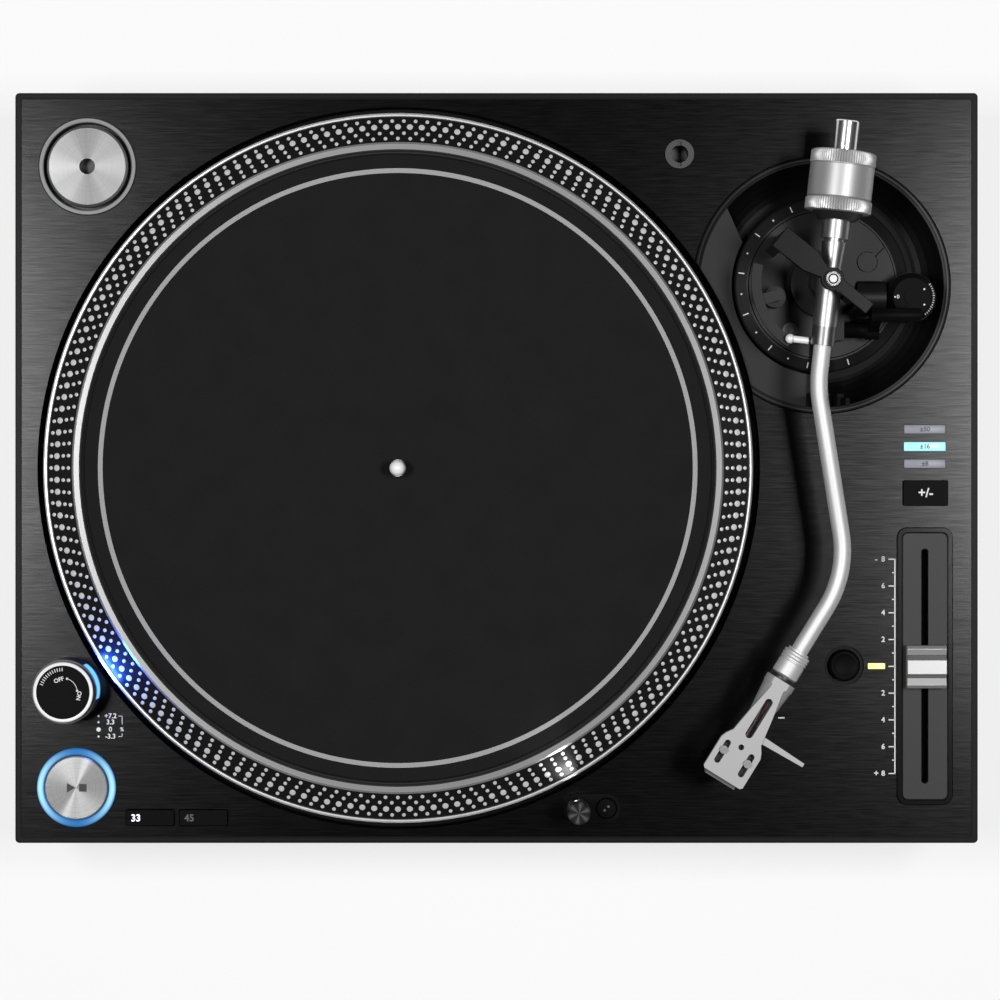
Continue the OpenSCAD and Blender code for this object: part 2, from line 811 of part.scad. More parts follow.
module reset_button() color("#1a1a1c") translate(reset_at) {
    top = panel_z + button_h;
    rotate_extrude() polygon([
        [0, plunger_z], [2, plunger_z], [2, cap_z], [reset_r, cap_z], [reset_r, top - 0.5],
        [reset_r - 0.5, top], [0, top]
    ]);
}

module lamp_plate() color("#202022") translate(lamp_at) {
    top = panel_z + 0.8;
    reach = lamp_button_at[0] - lamp_at[0];
    difference() {
        union() {
            translate([0, 0, deck_z]) linear_extrude(top - deck_z) lamp_pill(lamp_plate_r);
            disc(lamp_plate_r, panel_z - lamp_rise, deck_z + past);
            translate([reach, 0]) disc(lamp_button_r + 1, panel_z - 14, deck_z + past);
        }
        disc(lamp_r + run_gap, panel_z - lamp_rise - past, top + past);
        translate([reach, 0]) {
            disc(lamp_button_r + free_gap, panel_z - 8, top + past);
            disc(2 + run_gap, panel_z - 14 - past, panel_z);
        }
    }
}

module stylus_lamp() color("silver") translate(lamp_at) {
    window_drop = 9;
    top = panel_z + lamp_rise;
    window = top - window_drop;
    difference() {
        rotate_extrude() polygon([
            [0, panel_z - lamp_rise - 2], [lamp_r, panel_z - lamp_rise - 2], [lamp_r, top - 0.8],
            [lamp_r - 0.8, top], [0, top]
        ]);
        translate([0, 0, window]) rotate([-90, 0, 15]) cylinder(r = 2, h = lamp_r + past);
    }
}

module lamp_button() color("#2a2a2c") translate(lamp_button_at) {
    top = panel_z + button_h + 0.4;
    rotate_extrude() polygon([
        [0, panel_z - 14], [2, panel_z - 14], [2, panel_z - 6], [lamp_button_r, panel_z - 6],
        [lamp_button_r, top - 0.5], [lamp_button_r - 0.5, top], [0, top]
    ]);
}

module adapter_cup() color("#3a3a3c") translate(adapter_at) {
    out_r = cup_in_r + 1;
    rotate_extrude() polygon([
        [0, cup_floor_z - 1.5], [out_r, cup_floor_z - 1.5], [out_r, deck_z], [cup_r, deck_z],
        [cup_r, panel_z + 0.2], [cup_r - 0.4, panel_z + 0.6], [cup_in_r + 0.6, panel_z + 0.6],
        [cup_in_r, panel_z], [cup_in_r, cup_floor_z], [0, cup_floor_z]
    ]);
}

module adapter_45() color("silver") translate(adapter_at) {
    bore = spindle_r + 0.15;
    top = cup_floor_z + adapter_h;
    rotate_extrude() polygon([
        [bore, cup_floor_z], [adapter_r - 0.8, cup_floor_z], [adapter_r, cup_floor_z + 0.8],
        [adapter_r, top - 1], [adapter_r - 1, top], [bore, top]
    ]);
}

module headshell_socket() color("#303032") translate(socket_at) {
    top = panel_z + 0.8;
    floor_z = top - socket_depth;
    key = 1.8;
    difference() {
        union() {
            disc(bayonet_r + 2, floor_z - 1.5, deck_z + past);
            disc(socket_flange_r, deck_z, top);
        }
        disc(bayonet_r + run_gap, floor_z, top + past);
        for (y = [-1, 1]) translate([0, y * (bayonet_r + 0.6), top])
            cube([key, 2.4, 3], center = true);
    }
}

module tempo_frame() color("#202022") translate(fader_at) {
    top = panel_z + 1.3;
    difference() {
        slab([fader_w, fader_l], 4.8, deck_z, top);
        slab([fader_w - 5, fader_l - 5], 2.6, panel_z + 0.3, top + past);
        slab([slot_w, slot_l], slot_w / 2 - 0.1, deck_z - past, top);
    }
}

module tempo_fader() color("#555558") translate(fader_at) {
    body_h = 13;
    top = deck_under_z;
    low = top - body_h;
    difference() {
        slab([14, slot_l + 14], 1, low, top);
        slab([slot_w + 1.4, slot_l + 1], 1, low + 2, top + past);
    }
}

module tempo_slider() color("silver") translate(fader_at) {
    low = panel_z + 1.7;
    top = panel_z + 10;
    stem = [slot_w - 2 * free_gap, 6];
    ridge = grip_d / 3;
    slab(stem, 0.5, deck_under_z - 9, low + past);
    rotate([90, 0, 90]) linear_extrude(grip_w, center = true) polygon([
        [-grip_d / 2, low], [grip_d / 2, low], [grip_d / 2, top - 2], [grip_d / 2 - 1.5, top - 0.8],
        [ridge / 2 + 1, top - 2], [ridge / 2, top], [-ridge / 2, top], [-ridge / 2 - 1, top - 2],
        [-grip_d / 2 + 1.5, top - 0.8], [-grip_d / 2, top - 2]
    ]);
}

module indicator_lamps() color("lightcyan") {
    top = panel_z + 0.2;
    for (y = lamp_rows) translate(fader_at + [0, y]) slab(lamp_size, 0.4, deck_z, top);
    translate(zero_lamp_at) slab(zero_lamp_size, 0.4, deck_z, top);
}

// Platter

module platter() color("silver") at_spindle() {
    rim_z = panel_z + seat_h - 4.9;
    lip_z = seat_z + 1.6;
    band_in = platter_r - rim_w - bevel_w;
    skirt_z = panel_z - 5;
    under_z = seat_z - 6;
    rotate_extrude() polygon([
        [hub_r + 0.02, seat_z], [seat_r, seat_z], [seat_r, lip_z - 0.5], [seat_r + 0.6, lip_z],
        [band_in - 1, lip_z], [band_in, lip_z - 1], [band_in + bevel_w, rim_z],
        [platter_r - 0.8, rim_z], [platter_r, rim_z - 0.8], [platter_r, skirt_z + 1],
        [platter_r - 1, skirt_z], [platter_r - 6, skirt_z], [platter_r - 7, skirt_z + 1],
        [platter_r - 7, rim_z - 6], [platter_r - 12, under_z], [magnet_out_r + 1, under_z],
        [magnet_out_r + 1, boss_z], [magnet_in_r - 1, boss_z], [magnet_in_r - 1, under_z],
        [hub_r + 13, under_z], [hub_r + 11, hub_z + 1], [hub_r + 0.02, hub_z + 1]
    ]);
}

module spindle() color("gainsboro") at_spindle() {
    neck_step = 0.3;
    neck_z = seat_z + mat_t + 0.7;
    dome_z = seat_z + spindle_h - spindle_r;
    disc(shaft_r, bearing_floor_z, hub_z);
    disc(hub_r, hub_z, seat_z);
    disc(spindle_r - neck_step, seat_z, neck_z);
    disc(spindle_r, neck_z, dome_z);
    translate([0, 0, dome_z]) sphere(spindle_r);
}

module rotor_magnet() color("#333333") at_spindle()
    ring(magnet_out_r, magnet_in_r, boss_z - magnet_t, boss_z);

module slipmat() color("#1c1c1e") at_spindle() ring(mat_r, spindle_r + 0.4, seat_z, seat_z + mat_t);

// Tonearm: what stands on the chassis

// The dish's flat wing beside the platter, in the pivot's own directions
module wing_outline() {
    near = ring_r + 1.4;
    far = dish_in_r - 0.9;
    near_from = 151.6;
    far_from = 140.5;
    wing_to = 264;
    intersection() {
        difference() {
            circle(far);
            circle(near);
        }
        polygon([
            near * [cos(near_from), sin(near_from)], far * 1.01 * [cos(far_from), sin(far_from)],
            [-2 * far, far], [-2 * far, -2 * far], far * 1.2 * [cos(wing_to), sin(wing_to)],
            near * [cos(wing_to), sin(wing_to)], [0, 0]
        ]);
    }
}

module arm_dish() color("#0c0c0d") {
    slope = dish_in_r - ring_r - 3;
    wing_top = panel_z - 0.6;
    rise = dish_lip_z - 1.2 - dish_floor_z;
    outer = dish_in_r - 0.8;
    under_z = dish_floor_z - dish_floor_t;
    corner = 4;
    difference() {
        at_pivot() union() {
            rotate_extrude() polygon(concat(
                [[base_stem_r + 0.3, under_z], [outer - corner, under_z],
                 [outer, under_z + corner], [outer, deck_z], [dish_r, deck_z], [dish_r, dish_lip_z - 0.5],
                 [dish_r - 0.5, dish_lip_z], [dish_in_r + 0.5, dish_lip_z]],
                [for (a = [0 : 15 : 90]) [
                    dish_in_r - slope * sin(a),
                    dish_floor_z + rise * (1 - sin(a)) * (1 - sin(a)) + (a == 90 ? 0 : 0.02)
                ]],
                [[base_stem_r + 0.3, dish_floor_z]]
            ));
            translate([0, 0, wing_top - 3]) linear_extrude(3) wing_outline();
        }
        at_spindle() {
            disc(well_r + 0.2, 0, panel_z + 10);
            disc(well_r + well_wall_t + 0.2, 0, deck_z);
        }
    }
}

module height_ring() color("#2e2e30") at_pivot() rotate_extrude() polygon([
    [ring_in_r, dish_floor_z], [ring_r, dish_floor_z], [ring_r, panel_z - 2.2], [ring_r - 0.8, panel_z - 1.4],
    [ring_in_r + 0.8, panel_z + 0.8], [ring_in_r, panel_z + 0.8]
]);

module arm_base() color("#2a2a2c") at_pivot() {
    guide_at = guide_distance * [cos(guide_angle), sin(guide_angle)];
    stem_low = panel_z - 28;
    pillar_top = panel_z + 12;
    cue_post = [4.5, 9];
    cue_post_half = 5;
    difference() {
        union() {
            disc(base_r, dish_floor_z, plate_z);
            disc(base_stem_r, stem_low, dish_floor_z + past);
            disc(pillar_r, plate_z, pillar_top);
            disc(post_r, plate_z, post_top_z);
            translate(guide_at) disc(guide_r + 2.5, plate_z - past, guide_top_z);
            translate([0, skate_at[1], skate_rod_z]) rod_x(skate_rod_r, pillar_r - 4, skate_at[0] - 4);
            translate([0, skate_at[1], skate_rod_z + 2])
                rod_x(skate_hub_r, pillar_r - 0.3, skate_at[0] - skate_r - 0.6);
            translate(skate_at) disc(skate_r + 0.2, skate_base_z, skate_top_z);
            block([cue_post[0], cue_y - cue_post_half, plate_z - past],
                [cue_post[1], cue_y + cue_post_half, cue_z + cue_post_half]);
        }
        disc(vertical_pin_r + run_gap, post_top_z - 5, post_top_z + past);
        rotate(-bearing_angle)
            block([yoke_right - yoke_leg - seat_gap, -bar_half_w - seat_gap, plate_z],
                [yoke_right + seat_gap, bar_half_w + seat_gap, yoke_z]);
        translate(guide_at) disc(guide_r + run_gap, panel_z - 3, guide_top_z + past);
        translate(skate_at) disc(skate_axle_r + run_gap, skate_base_z + 2, skate_top_z + past);
        translate([0, cue_y, cue_z]) rod_x(cue_axle_r + run_gap, cue_post[0] - past, cue_post[1] + past);
        translate(lock_at) {
            disc(lock_r + free_gap, plate_z - 2, plate_z + past);
            disc(1.5 + run_gap, plate_z - 7, plate_z + past);
            rotate(45) block([0, -1.1, plate_z - 2], [lock_r + 7, 1.1, plate_z + past]);
        }
    }
}

module arm_yoke() color("#1a1a1c") {
    top = yoke_z + yoke_t;
    bearing_frame() difference() {
        union() {
            translate([0, 0, yoke_z]) linear_extrude(yoke_t) {
                polygon([
                    [yoke_left, -yoke_half_w], [-neck_far, -yoke_half_w], [-neck_near, -bar_half_w],
                    [yoke_right, -bar_half_w], [yoke_right, bar_half_w], [-neck_near, bar_half_w],
                    [-neck_far, yoke_half_w], [yoke_left, yoke_half_w]
                ]);
                circle(cap_r + 1.6);
            }
            block([yoke_left, -leg_half_w, plate_z], [yoke_left + yoke_leg, leg_half_w, yoke_z + past]);
            block([yoke_right - yoke_leg, -bar_half_w, plate_z], [yoke_right, bar_half_w, yoke_z + past]);
            disc(cap_r, top - past, top + cap_h);
        }
        disc(vertical_pin_r + run_gap, yoke_z - past, yoke_z + 3.2);
        disc(cap_r - 1.3, top + cap_h - 0.6, top + cap_h + past);
    }
}

module height_lock() color("#333335") at_pivot() translate(lock_at) {
    disc(lock_r, plate_z - 1.6, plate_z + 0.6);
    disc(1.5, plate_z - 6.5, plate_z);
}

module cue_lever() color("#161618") at_pivot() translate([0, cue_y, cue_z]) {
    rod_x(cue_axle_r, 5, 10);
    rod_x(cue_r, 9.4, 19.5);
    rod_x(cue_r + 0.8, 19.4, 25.6);
    rotate([-cue_lean, 0, 0]) {
        block([20, -2.4, 0], [25, 2.4, cue_reach]);
        translate([0, 0, cue_reach]) rod_x(cue_bar_r, 20, 43);
    }
}

module lift_platform() color("#444446") at_pivot() {
    low = rail_top_z - rail_t;
    guide_at = guide_distance * [cos(guide_angle), sin(guide_angle)];
    in_r = rail_r - rail_w / 2;
    rotate(rail_from) rotate_extrude(angle = rail_to - rail_from)
        translate([in_r, low]) square([rail_w, rail_t]);
    translate(guide_at) disc(guide_r, panel_z + 2, low + 1.5);
    rotate(guide_angle) block([guide_distance - 2.5, -2.5, low - 1], [in_r + 1, 2.5, low + 1.5]);
}

module anti_skate_dial() color("#222224") at_pivot() translate(skate_at) {
    low = skate_top_z + 0.3;
    rotate_extrude() polygon([
        [0, skate_base_z + 3], [skate_axle_r, skate_base_z + 3], [skate_axle_r, low], [skate_r, low],
        [skate_r, low + 1.2], [skate_r - 2.6, low + 4], [3.8, low + 4], [3.8, low + 4.5], [0, low + 4.5]
    ]);
}

// The rest's frame: X across the tube, Y along it
module rest_frame() at_pivot() rotate(rest_angle - 270) translate([0, -rest_distance, 0]) children();

module arm_rest() color("#161618") {
    inner = rest_distance - base_r + 7;
    rest_frame() {
        block([-4, 0, plate_z], [4, inner, plate_z + 4]);
        block([-5, -2.8, plate_z], [5, 2.8, rest_floor_z]);
        block([-8.2, -2.8, rest_floor_z - 8], [-4.6, 2.8, rest_floor_z]);
        difference() {
            block([tube_r + 0.6, -2.8, rest_floor_z - 8], [tube_r + 3.6, 2.8, clip_axis_z + clip_barrel_r]);
            block([tube_r, -2.8 - past, clip_axis_z - clip_barrel_r - 0.4],
                [tube_r + 4.6, 1, clip_axis_z + clip_barrel_r + past]);
        }
        block([4, -2.8, rest_floor_z - 8], [tube_r + 1, 2.8, rest_floor_z]);
        translate([clip_axis_x, 0, clip_axis_z]) rod_y(clip_pin_r, -2.6, 1.5);
    }
}

module rest_clip() color("#161618") rest_frame() translate([clip_axis_x, 0, clip_axis_z]) {
    difference() {
        union() {
            rod_y(clip_barrel_r, -2.6, 0.7);
            block([1.9, -2.6, -0.9], [3.6, 0.7, 9.6]);
            block([0, -2.6, -0.9], [3.6, 0.7, 0.9]);
        }
        rod_y(clip_pin_r + run_gap, -2.6 - past, 0.7 + past);
    }
}

// Tonearm: what swings

module gimbal_frame() color("#2c2c2e") bearing_frame() translate([0, 0, arm_z]) {
    half_t = gimbal_t / 2;
    inner_w = gimbal_half_w - gimbal_bar;
    inner_h = gimbal_half_h - 3;
    difference() {
        block([-gimbal_half_w, -half_t, -gimbal_half_h], [gimbal_half_w, half_t, gimbal_half_h]);
        block([-inner_w, -half_t - past, -inner_h], [inner_w, half_t + past, inner_h]);
        rod_x(tilt_pin_r + run_gap, -gimbal_half_w + 1, gimbal_half_w - 1);
    }
    disc(vertical_pin_r, gimbal_half_h - 0.1, gimbal_half_h + 3);
    disc(vertical_pin_r, -gimbal_half_h - 6.5, -gimbal_half_h + 0.1);
}

module arm_sleeve() color("silver") {
    satin_from = 20;
    lift_pin_y = -28.3;
    arm_frame() {
        rod_y(sleeve_r, -satin_from, 0);
        rod_y(sleeve_r - 0.25, -sleeve_l, -satin_from);
        rod_y(sleeve_r - 0.6, -0.1, 5.5);
        cone_y(sleeve_r - 1.2, sleeve_r - 0.1, 5.4, collar_from - 1.6);
        rod_y(sleeve_r - 1.2, collar_from - 1.7, collar_from);
        rod_y(collar_r, collar_from, collar_to);
        rod_y(shaft_out_r, collar_to - 0.1, shaft_end - 0.6);
        cone_y(shaft_out_r, shaft_out_r - 0.6, shaft_end - 0.6, shaft_end);
        translate([0, lift_pin_y, -lift_pin_drop]) {
            rod_x(1.6, -14.6, -2);
            translate([-14.8, 0, 0]) sphere(lift_pin_r);
        }
    }
    bearing_frame() translate([0, 0, arm_z])
        rod_x(tilt_pin_r, -gimbal_half_w + 1.3, gimbal_half_w - 1.3);
}

module arm_tube() color("lightgray") {
    arm_frame() tube_run();
    head_frame() {
        pipe_y(socket_r, tube_r - tube_wall, -0.5, 0.9);
        pipe_y(socket_r, bayonet_r + run_gap, -lock_l, -0.5);
    }
}

module counterweight() color("gainsboro") arm_frame() {
    band = 6;
    bore = bush_r + run_gap;
    rotate([-90, 0, 0]) rotate_extrude() polygon([
        [bore, weight_front], [bore + 1.2, weight_front], [bore + 4.2, dial_from - 0.1],
        [dial_hub_r, dial_from - 0.1], [dial_hub_r, weight_from], [weight_r - 0.6, weight_from],
        [weight_r - 0.2, weight_from + 0.4], [weight_r - 0.2, weight_to - band],
        [weight_r - 0.5, weight_to - band + 0.2], [weight_r, weight_to - band + 0.6],
        [weight_r, weight_to - 0.8], [weight_r - 0.8, weight_to], [bore, weight_to]
    ]);
}

module weight_bush() color("goldenrod") arm_frame() rotate([-90, 0, 0]) rotate_extrude() polygon([
    [shaft_out_r + run_gap, weight_front], [bush_r, weight_front], [bush_r, weight_to],
    [shaft_out_r + run_gap, weight_to]
]);

module weight_dial() color("silver") arm_frame() rotate([-90, 0, 0]) rotate_extrude() polygon([
    [dial_hub_r + run_gap, dial_from], [weight_r - 0.4, dial_from], [weight_r + 0.3, dial_from + 0.6],
    [weight_r + 0.3, dial_from + dial_l - 0.6], [weight_r - 0.2, dial_from + dial_l],
    [dial_hub_r + run_gap, dial_from + dial_l]
]);

module lock_collar() color("silver") head_frame() rotate([-90, 0, 0]) rotate_extrude() polygon([
    [socket_r + run_gap, -lock_l], [lock_out_r - 0.5, -lock_l], [lock_out_r, -lock_l + 0.5],
    [lock_out_r, -0.8], [lock_out_r - 0.5, -0.3], [socket_r + run_gap, -0.3]
]);

// Half of the headshell's plate outline, right of its axis
function shell_side() = [
    [2.6, -shell_from - 3], [3.9, -shell_from - 10], [5.4, -shell_from - 18], [7.4, -shell_to + 22],
    [shell_half_w - 1, -shell_to + 19], [shell_half_w, -shell_to + 16.5],
    [shell_half_w, -shell_to + 1], [shell_half_w - 1, -shell_to]
];

module headshell() color("#b8b8ba") head_frame() {
    side = shell_side();
    stub_r = 6.2;
    neck_from = -shell_from - 0.7;
    neck_to = -shell_from - 4.2;
    tip_r = 4.8;
    tip_y = -shell_from - 25;
    lead_slot_w = 3.6;
    lead_slot_from = -shell_from - 12.5;
    lead_slot_l = 17;
    pin_hole_r = 1.35;
    finger_y = -shell_to + 24.5;
    finger_t = 1.4;
    finger_drop = 2.6;
    finger_root = [shell_half_w - 4.5, 1.7];
    finger_tip = [shell_half_w + lift_reach, 0.9];
    difference() {
        union() {
            translate([0, 0, shell_under]) linear_extrude(shell_top - shell_under)
                polygon(concat(side, [for (i = [len(side) - 1 : -1 : 0]) [-side[i][0], side[i][1]]]));
            rod_y(bayonet_r, -shell_from - 0.1, -2.5);
            rod_y(stub_r, neck_from - 0.1, -lock_l - 0.3);
            rod_y(neck_r, neck_to, neck_from);
            cone_y(tip_r, neck_r - 0.3, tip_y, neck_to + 0.1);
        }
        slot_y(lead_slot_w, lead_slot_from, lead_slot_from - lead_slot_l, -shell_top - 6, shell_top + past);
        for (x = [-1, 1]) translate([x * screw_pitch / 2, 0, 0])
            slot_y(screw_slot_w, -screw_from, -screw_to, shell_under - past, shell_top + past);
        translate([0, -screw_from + 1.5, 0]) disc(pin_hole_r, shell_under - past, shell_top + past);
        block([-2 * shell_half_w, -shell_to, shell_top], [2 * shell_half_w, 0, shell_top + 10]);
    }
    translate([0, finger_y, shell_top - finger_drop]) linear_extrude(finger_t) polygon([
        [finger_root[0], -finger_root[1]], [finger_tip[0], -finger_tip[1]], finger_tip, finger_root
    ]);
}

module cartridge() color("#17171a") head_frame() {
    top = shell_under;
    half = 7.8;
    rear_h = 7;
    front_h = 8;
    rear_slope = 6;
    front_slope = 3;
    pin_r = 0.6;
    pin_l = 3.6;
    rotate([90, 0, 90]) linear_extrude(2 * half, center = true) polygon([
        [-cartridge_to, top], [-cartridge_from, top], [-cartridge_from, top - rear_h],
        [-cartridge_from - rear_slope, cartridge_under], [-cartridge_to + front_slope, cartridge_under],
        [-cartridge_to, top - front_h]
    ]);
    for (x = [-3, 3], z = [top - 2.2, top - 5])
        translate([x, -cartridge_from, z]) rod_y(pin_r, -past, pin_l);
}

module stylus() color("#8a8a90") head_frame() {
    rise = -cartridge_under;
    block([-3, -stylus_place - 1, -rise - 3], [3, -stylus_place + 12, -rise]);
    translate([0, -stylus_place, 0]) rotate([180, 0, 0]) {
        translate([0, 0, rise + 2.9]) cylinder(r1 = 0.9, r2 = 0.25, h = stylus_drop - rise - 2.9);
    }
}

module cartridge_screws() color("#303032") head_frame() {
    shank_r = 1.25;
    head_r = 1.9;
    head_top = shell_top + 1.2;
    slot_half = 0.35;
    slot_depth = 0.6;
    slot_angle = 40;
    for (x = [-1, 1]) translate([x * screw_pitch / 2, -screw_place, 0]) {
        disc(shank_r, shell_under, shell_top + 0.1);
        difference() {
            disc(head_r, shell_top, head_top);
            rotate(slot_angle)
                block([-head_r - past, -slot_half, head_top - slot_depth],
                    [head_r + past, slot_half, head_top + past]);
        }
    }
}

top_chassis();
top_panel();
base_cabinet();
bottom_cover();
bottom_screws();
bearing_housing();
motor_stator();
switch_boards();
power_supply_board();
jack_panel();
mains_inlet();
strobe_housing();
strobe_lens();
start_ring();
adapter_cup();
lamp_plate();
headshell_socket();
tempo_frame();
tempo_fader();
indicator_lamps();
arm_dish();
platter();
spindle();
rotor_magnet();
slipmat();
adapter_45();
power_knob();
start_button();
button_33();
button_45();
stylus_lamp();
lamp_button();
reset_button();
range_button();
tempo_slider();
height_ring();
arm_base();
arm_yoke();
arm_rest();
height_lock();
cue_lever();
lift_platform();
anti_skate_dial();
rest_clip();
gimbal_frame();
arm_tube();
arm_sleeve();
counterweight();
weight_bush();
weight_dial();
lock_collar();
headshell();
cartridge();
stylus();
cartridge_screws();
ground_screw();
foot_front_left();
foot_front_right();
foot_rear_left();
foot_rear_right();
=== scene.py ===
import math

import bmesh
import bpy
from mathutils import Matrix, Vector


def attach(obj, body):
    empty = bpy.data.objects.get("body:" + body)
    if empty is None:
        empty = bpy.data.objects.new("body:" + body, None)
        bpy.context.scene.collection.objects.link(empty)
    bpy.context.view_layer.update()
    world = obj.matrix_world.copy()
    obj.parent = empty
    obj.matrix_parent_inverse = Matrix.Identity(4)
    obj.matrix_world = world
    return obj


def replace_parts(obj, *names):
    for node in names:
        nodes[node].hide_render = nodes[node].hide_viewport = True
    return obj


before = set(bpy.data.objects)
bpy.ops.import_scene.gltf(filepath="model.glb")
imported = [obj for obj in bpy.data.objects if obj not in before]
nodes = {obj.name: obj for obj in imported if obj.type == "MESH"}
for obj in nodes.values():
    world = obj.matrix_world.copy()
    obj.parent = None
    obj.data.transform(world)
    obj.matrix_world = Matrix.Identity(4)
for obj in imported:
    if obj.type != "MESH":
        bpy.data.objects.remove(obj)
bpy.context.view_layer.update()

mm = 0.001
quarter = math.radians(90)
spindleAt = Vector((-46, 0, 0)) * mm
pivotAt = Vector((153, 86, 0)) * mm
headAt = Vector((138.49, -84.813, 0)) * mm  # where the lock collar starts
headTurn = math.radians(31.7)
armTurn = math.radians(6.4)
armUp = Vector((0, 0, 141)) * mm
adapterAt = Vector((-192.4, 141.8, 0)) * mm
startAt = Vector((-197.6, -150.3, 0)) * mm
knobAt = Vector((-201, -104, 0)) * mm
lampAt = Vector((38.3, -160, 0)) * mm
resetAt = Vector((163.5, -92.9, 0)) * mm
skateAt = Vector((193.6, 79.7, 0)) * mm
faderAt = Vector((201.5, -93.2, 0)) * mm


class Sock:  # a shader socket that takes part in plain maths
    def __init__(self, look, socket):
        self.look = look
        self.socket = socket

    def math(self, operation, a, b=0.0):
        return self.look.node("ShaderNodeMath", {"operation": operation}, {0: a, 1: b})

    def __add__(self, other):
        return self.math("ADD", self, other)

    def __radd__(self, other):
        return self.math("ADD", other, self)

    def __sub__(self, other):
        return self.math("SUBTRACT", self, other)

    def __rsub__(self, other):
        return self.math("SUBTRACT", other, self)

    def __mul__(self, other):
        return self.math("MULTIPLY", self, other)

    def __rmul__(self, other):
        return self.math("MULTIPLY", other, self)

    def __truediv__(self, other):
        return self.math("DIVIDE", self, other)

    def __rtruediv__(self, other):
        return self.math("DIVIDE", other, self)

    def __pow__(self, other):
        return self.math("POWER", self, other)

    def __rpow__(self, other):
        return self.math("POWER", other, self)

    def __gt__(self, other):
        return self.math("GREATER_THAN", self, other)

    def __lt__(self, other):
        return self.math("LESS_THAN", self, other)

    def sine(self):
        return self.math("SINE", self)

    def absolute(self):
        return self.math("ABSOLUTE", self)

    def least(self, other):
        return self.math("MINIMUM", self, other)

    def root(self):
        return self.math("SQRT", self)


class Look:  # one material, its shader and the nodes that feed it
    def __init__(self, name):
        self.material = bpy.data.materials.new(name)
        self.material.use_nodes = True
        self.tree = self.material.node_tree
        self.shader = self.tree.nodes["Principled BSDF"]
        self.place = self.node("ShaderNodeTexCoord", {}, {}, "Object")

    def node(self, kind, settings, inputs, output=0):
        made = self.tree.nodes.new(kind)
        for key, value in settings.items():
            setattr(made, key, value)
        for key, value in inputs.items():
            self.feed(made.inputs[key], value)
        return Sock(self, made.outputs[output])

    def feed(self, socket, value):
        if isinstance(value, Sock):
            self.tree.links.new(value.socket, socket)
        else:
            socket.default_value = value

    def axis(self, letter):
        return self.node("ShaderNodeSeparateXYZ", {}, {0: self.place}, letter)

    def noise(self, stretch, detail=2.0):  # stretch is in cycles per metre along x, y, z
        spot = self.node("ShaderNodeMapping", {}, {"Vector": self.place, "Scale": stretch})
        return self.node("ShaderNodeTexNoise", {}, {"Vector": spot, "Scale": 1.0, "Detail": detail}, "Fac")

    def grain(self, cycles, detail=2.0):  # the same in every direction
        return self.noise((cycles, cycles, cycles), detail)

    def radius(self, centre):  # distance from an upright axis, in metres
        dx = self.axis("X") - centre[0]
        dy = self.axis("Y") - centre[1]
        return (dx * dx + dy * dy).root()

    def bearing(self, centre):  # angle round an upright axis, in radians
        dx = self.axis("X") - centre[0]
        dy = self.axis("Y") - centre[1]
        return self.node("ShaderNodeMath", {"operation": "ARCTAN2"}, {0: dy, 1: dx})

    def rings(self, centre, pitch):  # uneven turned grooves round an upright axis
        return self.line(self.radius(centre) / pitch)

    def line(self, spot):  # uneven values along one direction
        settings = {"noise_dimensions": "1D"}
        return self.node("ShaderNodeTexNoise", settings, {"W": spot, "Scale": 1.0, "Detail": 3.0}, "Fac")

    def mix(self, factor, a, b):
        return self.node("ShaderNodeMix", {"data_type": "RGBA"}, {0: factor, 6: rgb(a), 7: rgb(b)}, 2)

    def bump(self, height, strength, depth):
        inputs = {"Strength": strength, "Distance": depth, "Height": height}
        return self.node("ShaderNodeBump", {}, inputs, "Normal")

    def set(self, **sockets):  # names as on the shader, with _ for spaces
        for key, value in sockets.items():
            self.feed(self.shader.inputs[key.replace("_", " ")], value)
        return self.material


def rgb(value):
    if isinstance(value, Sock):
        return value
    if isinstance(value, (int, float)):
        return (value, value, value, 1)
    return (*value, 1)


# materials

panelLook = {"dark": 0.0013, "light": 0.035, "streakLength": 0.014, "streakWidth": 0.0005,
             "broad": (14, 900, 1), "fineShare": 0.8}


def brushedPanel():
    look = Look("brushedPanel")
    along = 1 / panelLook["streakLength"]
    across = 1 / panelLook["streakWidth"]
    fine = look.noise((along, across, 1), 3)
    broad = look.noise(panelLook["broad"], 2)
    streak = fine * panelLook["fineShare"] + broad * (1 - panelLook["fineShare"])
    return look.set(
        Base_Color=look.mix(streak, panelLook["dark"], panelLook["light"]),
        Metallic=1.0,
        Roughness=streak * 0.06 + 0.175,
        Normal=look.bump(fine, 0.04, 0.00001),
    )


def grained(name, colour, roughness, grain=1500, metallic=0.0, depth=0.00003, variation=0.35, gloss=0.5):
    look = Look(name)
    look.set(Metallic=metallic, Specular_IOR_Level=gloss)
    fine = look.grain(grain, 3)
    cloud = look.grain(18, 2)
    dark = [c * (1 - variation) for c in rgb(colour)[:3]]
    light = [c * (1 + variation) for c in rgb(colour)[:3]]
    return look.set(
        Base_Color=look.mix(fine * 0.6 + cloud * 0.4, dark, light),
        Roughness=cloud * 0.12 + fine * 0.08 + (roughness - 0.1),
        Normal=look.bump(fine, 0.3, depth),
    )


def spunMetal(name, centre, dark, light, paintedFans, lobes=2, gloss=0.5):  # painted highlight fans, each a direction, share and width
    look = Look(name)
    groove = look.rings(centre, 0.00035)
    angle = look.bearing(centre)
    shine = look.line(angle * 14) * 0.25
    # painted highlights: the colour is lighter in fans at fixed bearings, standing in for reflections of the
    # lights
    for turn, share, width in paintedFans:
        wave = (angle * lobes + (math.pi / 2 - lobes * math.radians(turn))).sine() * 0.5 + 0.5
        shine = shine + wave ** width * share
    look.set(Metallic=0.45, Specular_IOR_Level=gloss)
    return look.set(
        Base_Color=look.mix(shine + groove * 0.12, dark, light),
        Roughness=groove * 0.12 + 0.24,
        Normal=look.bump(groove, 0.5, 0.00003),
    )


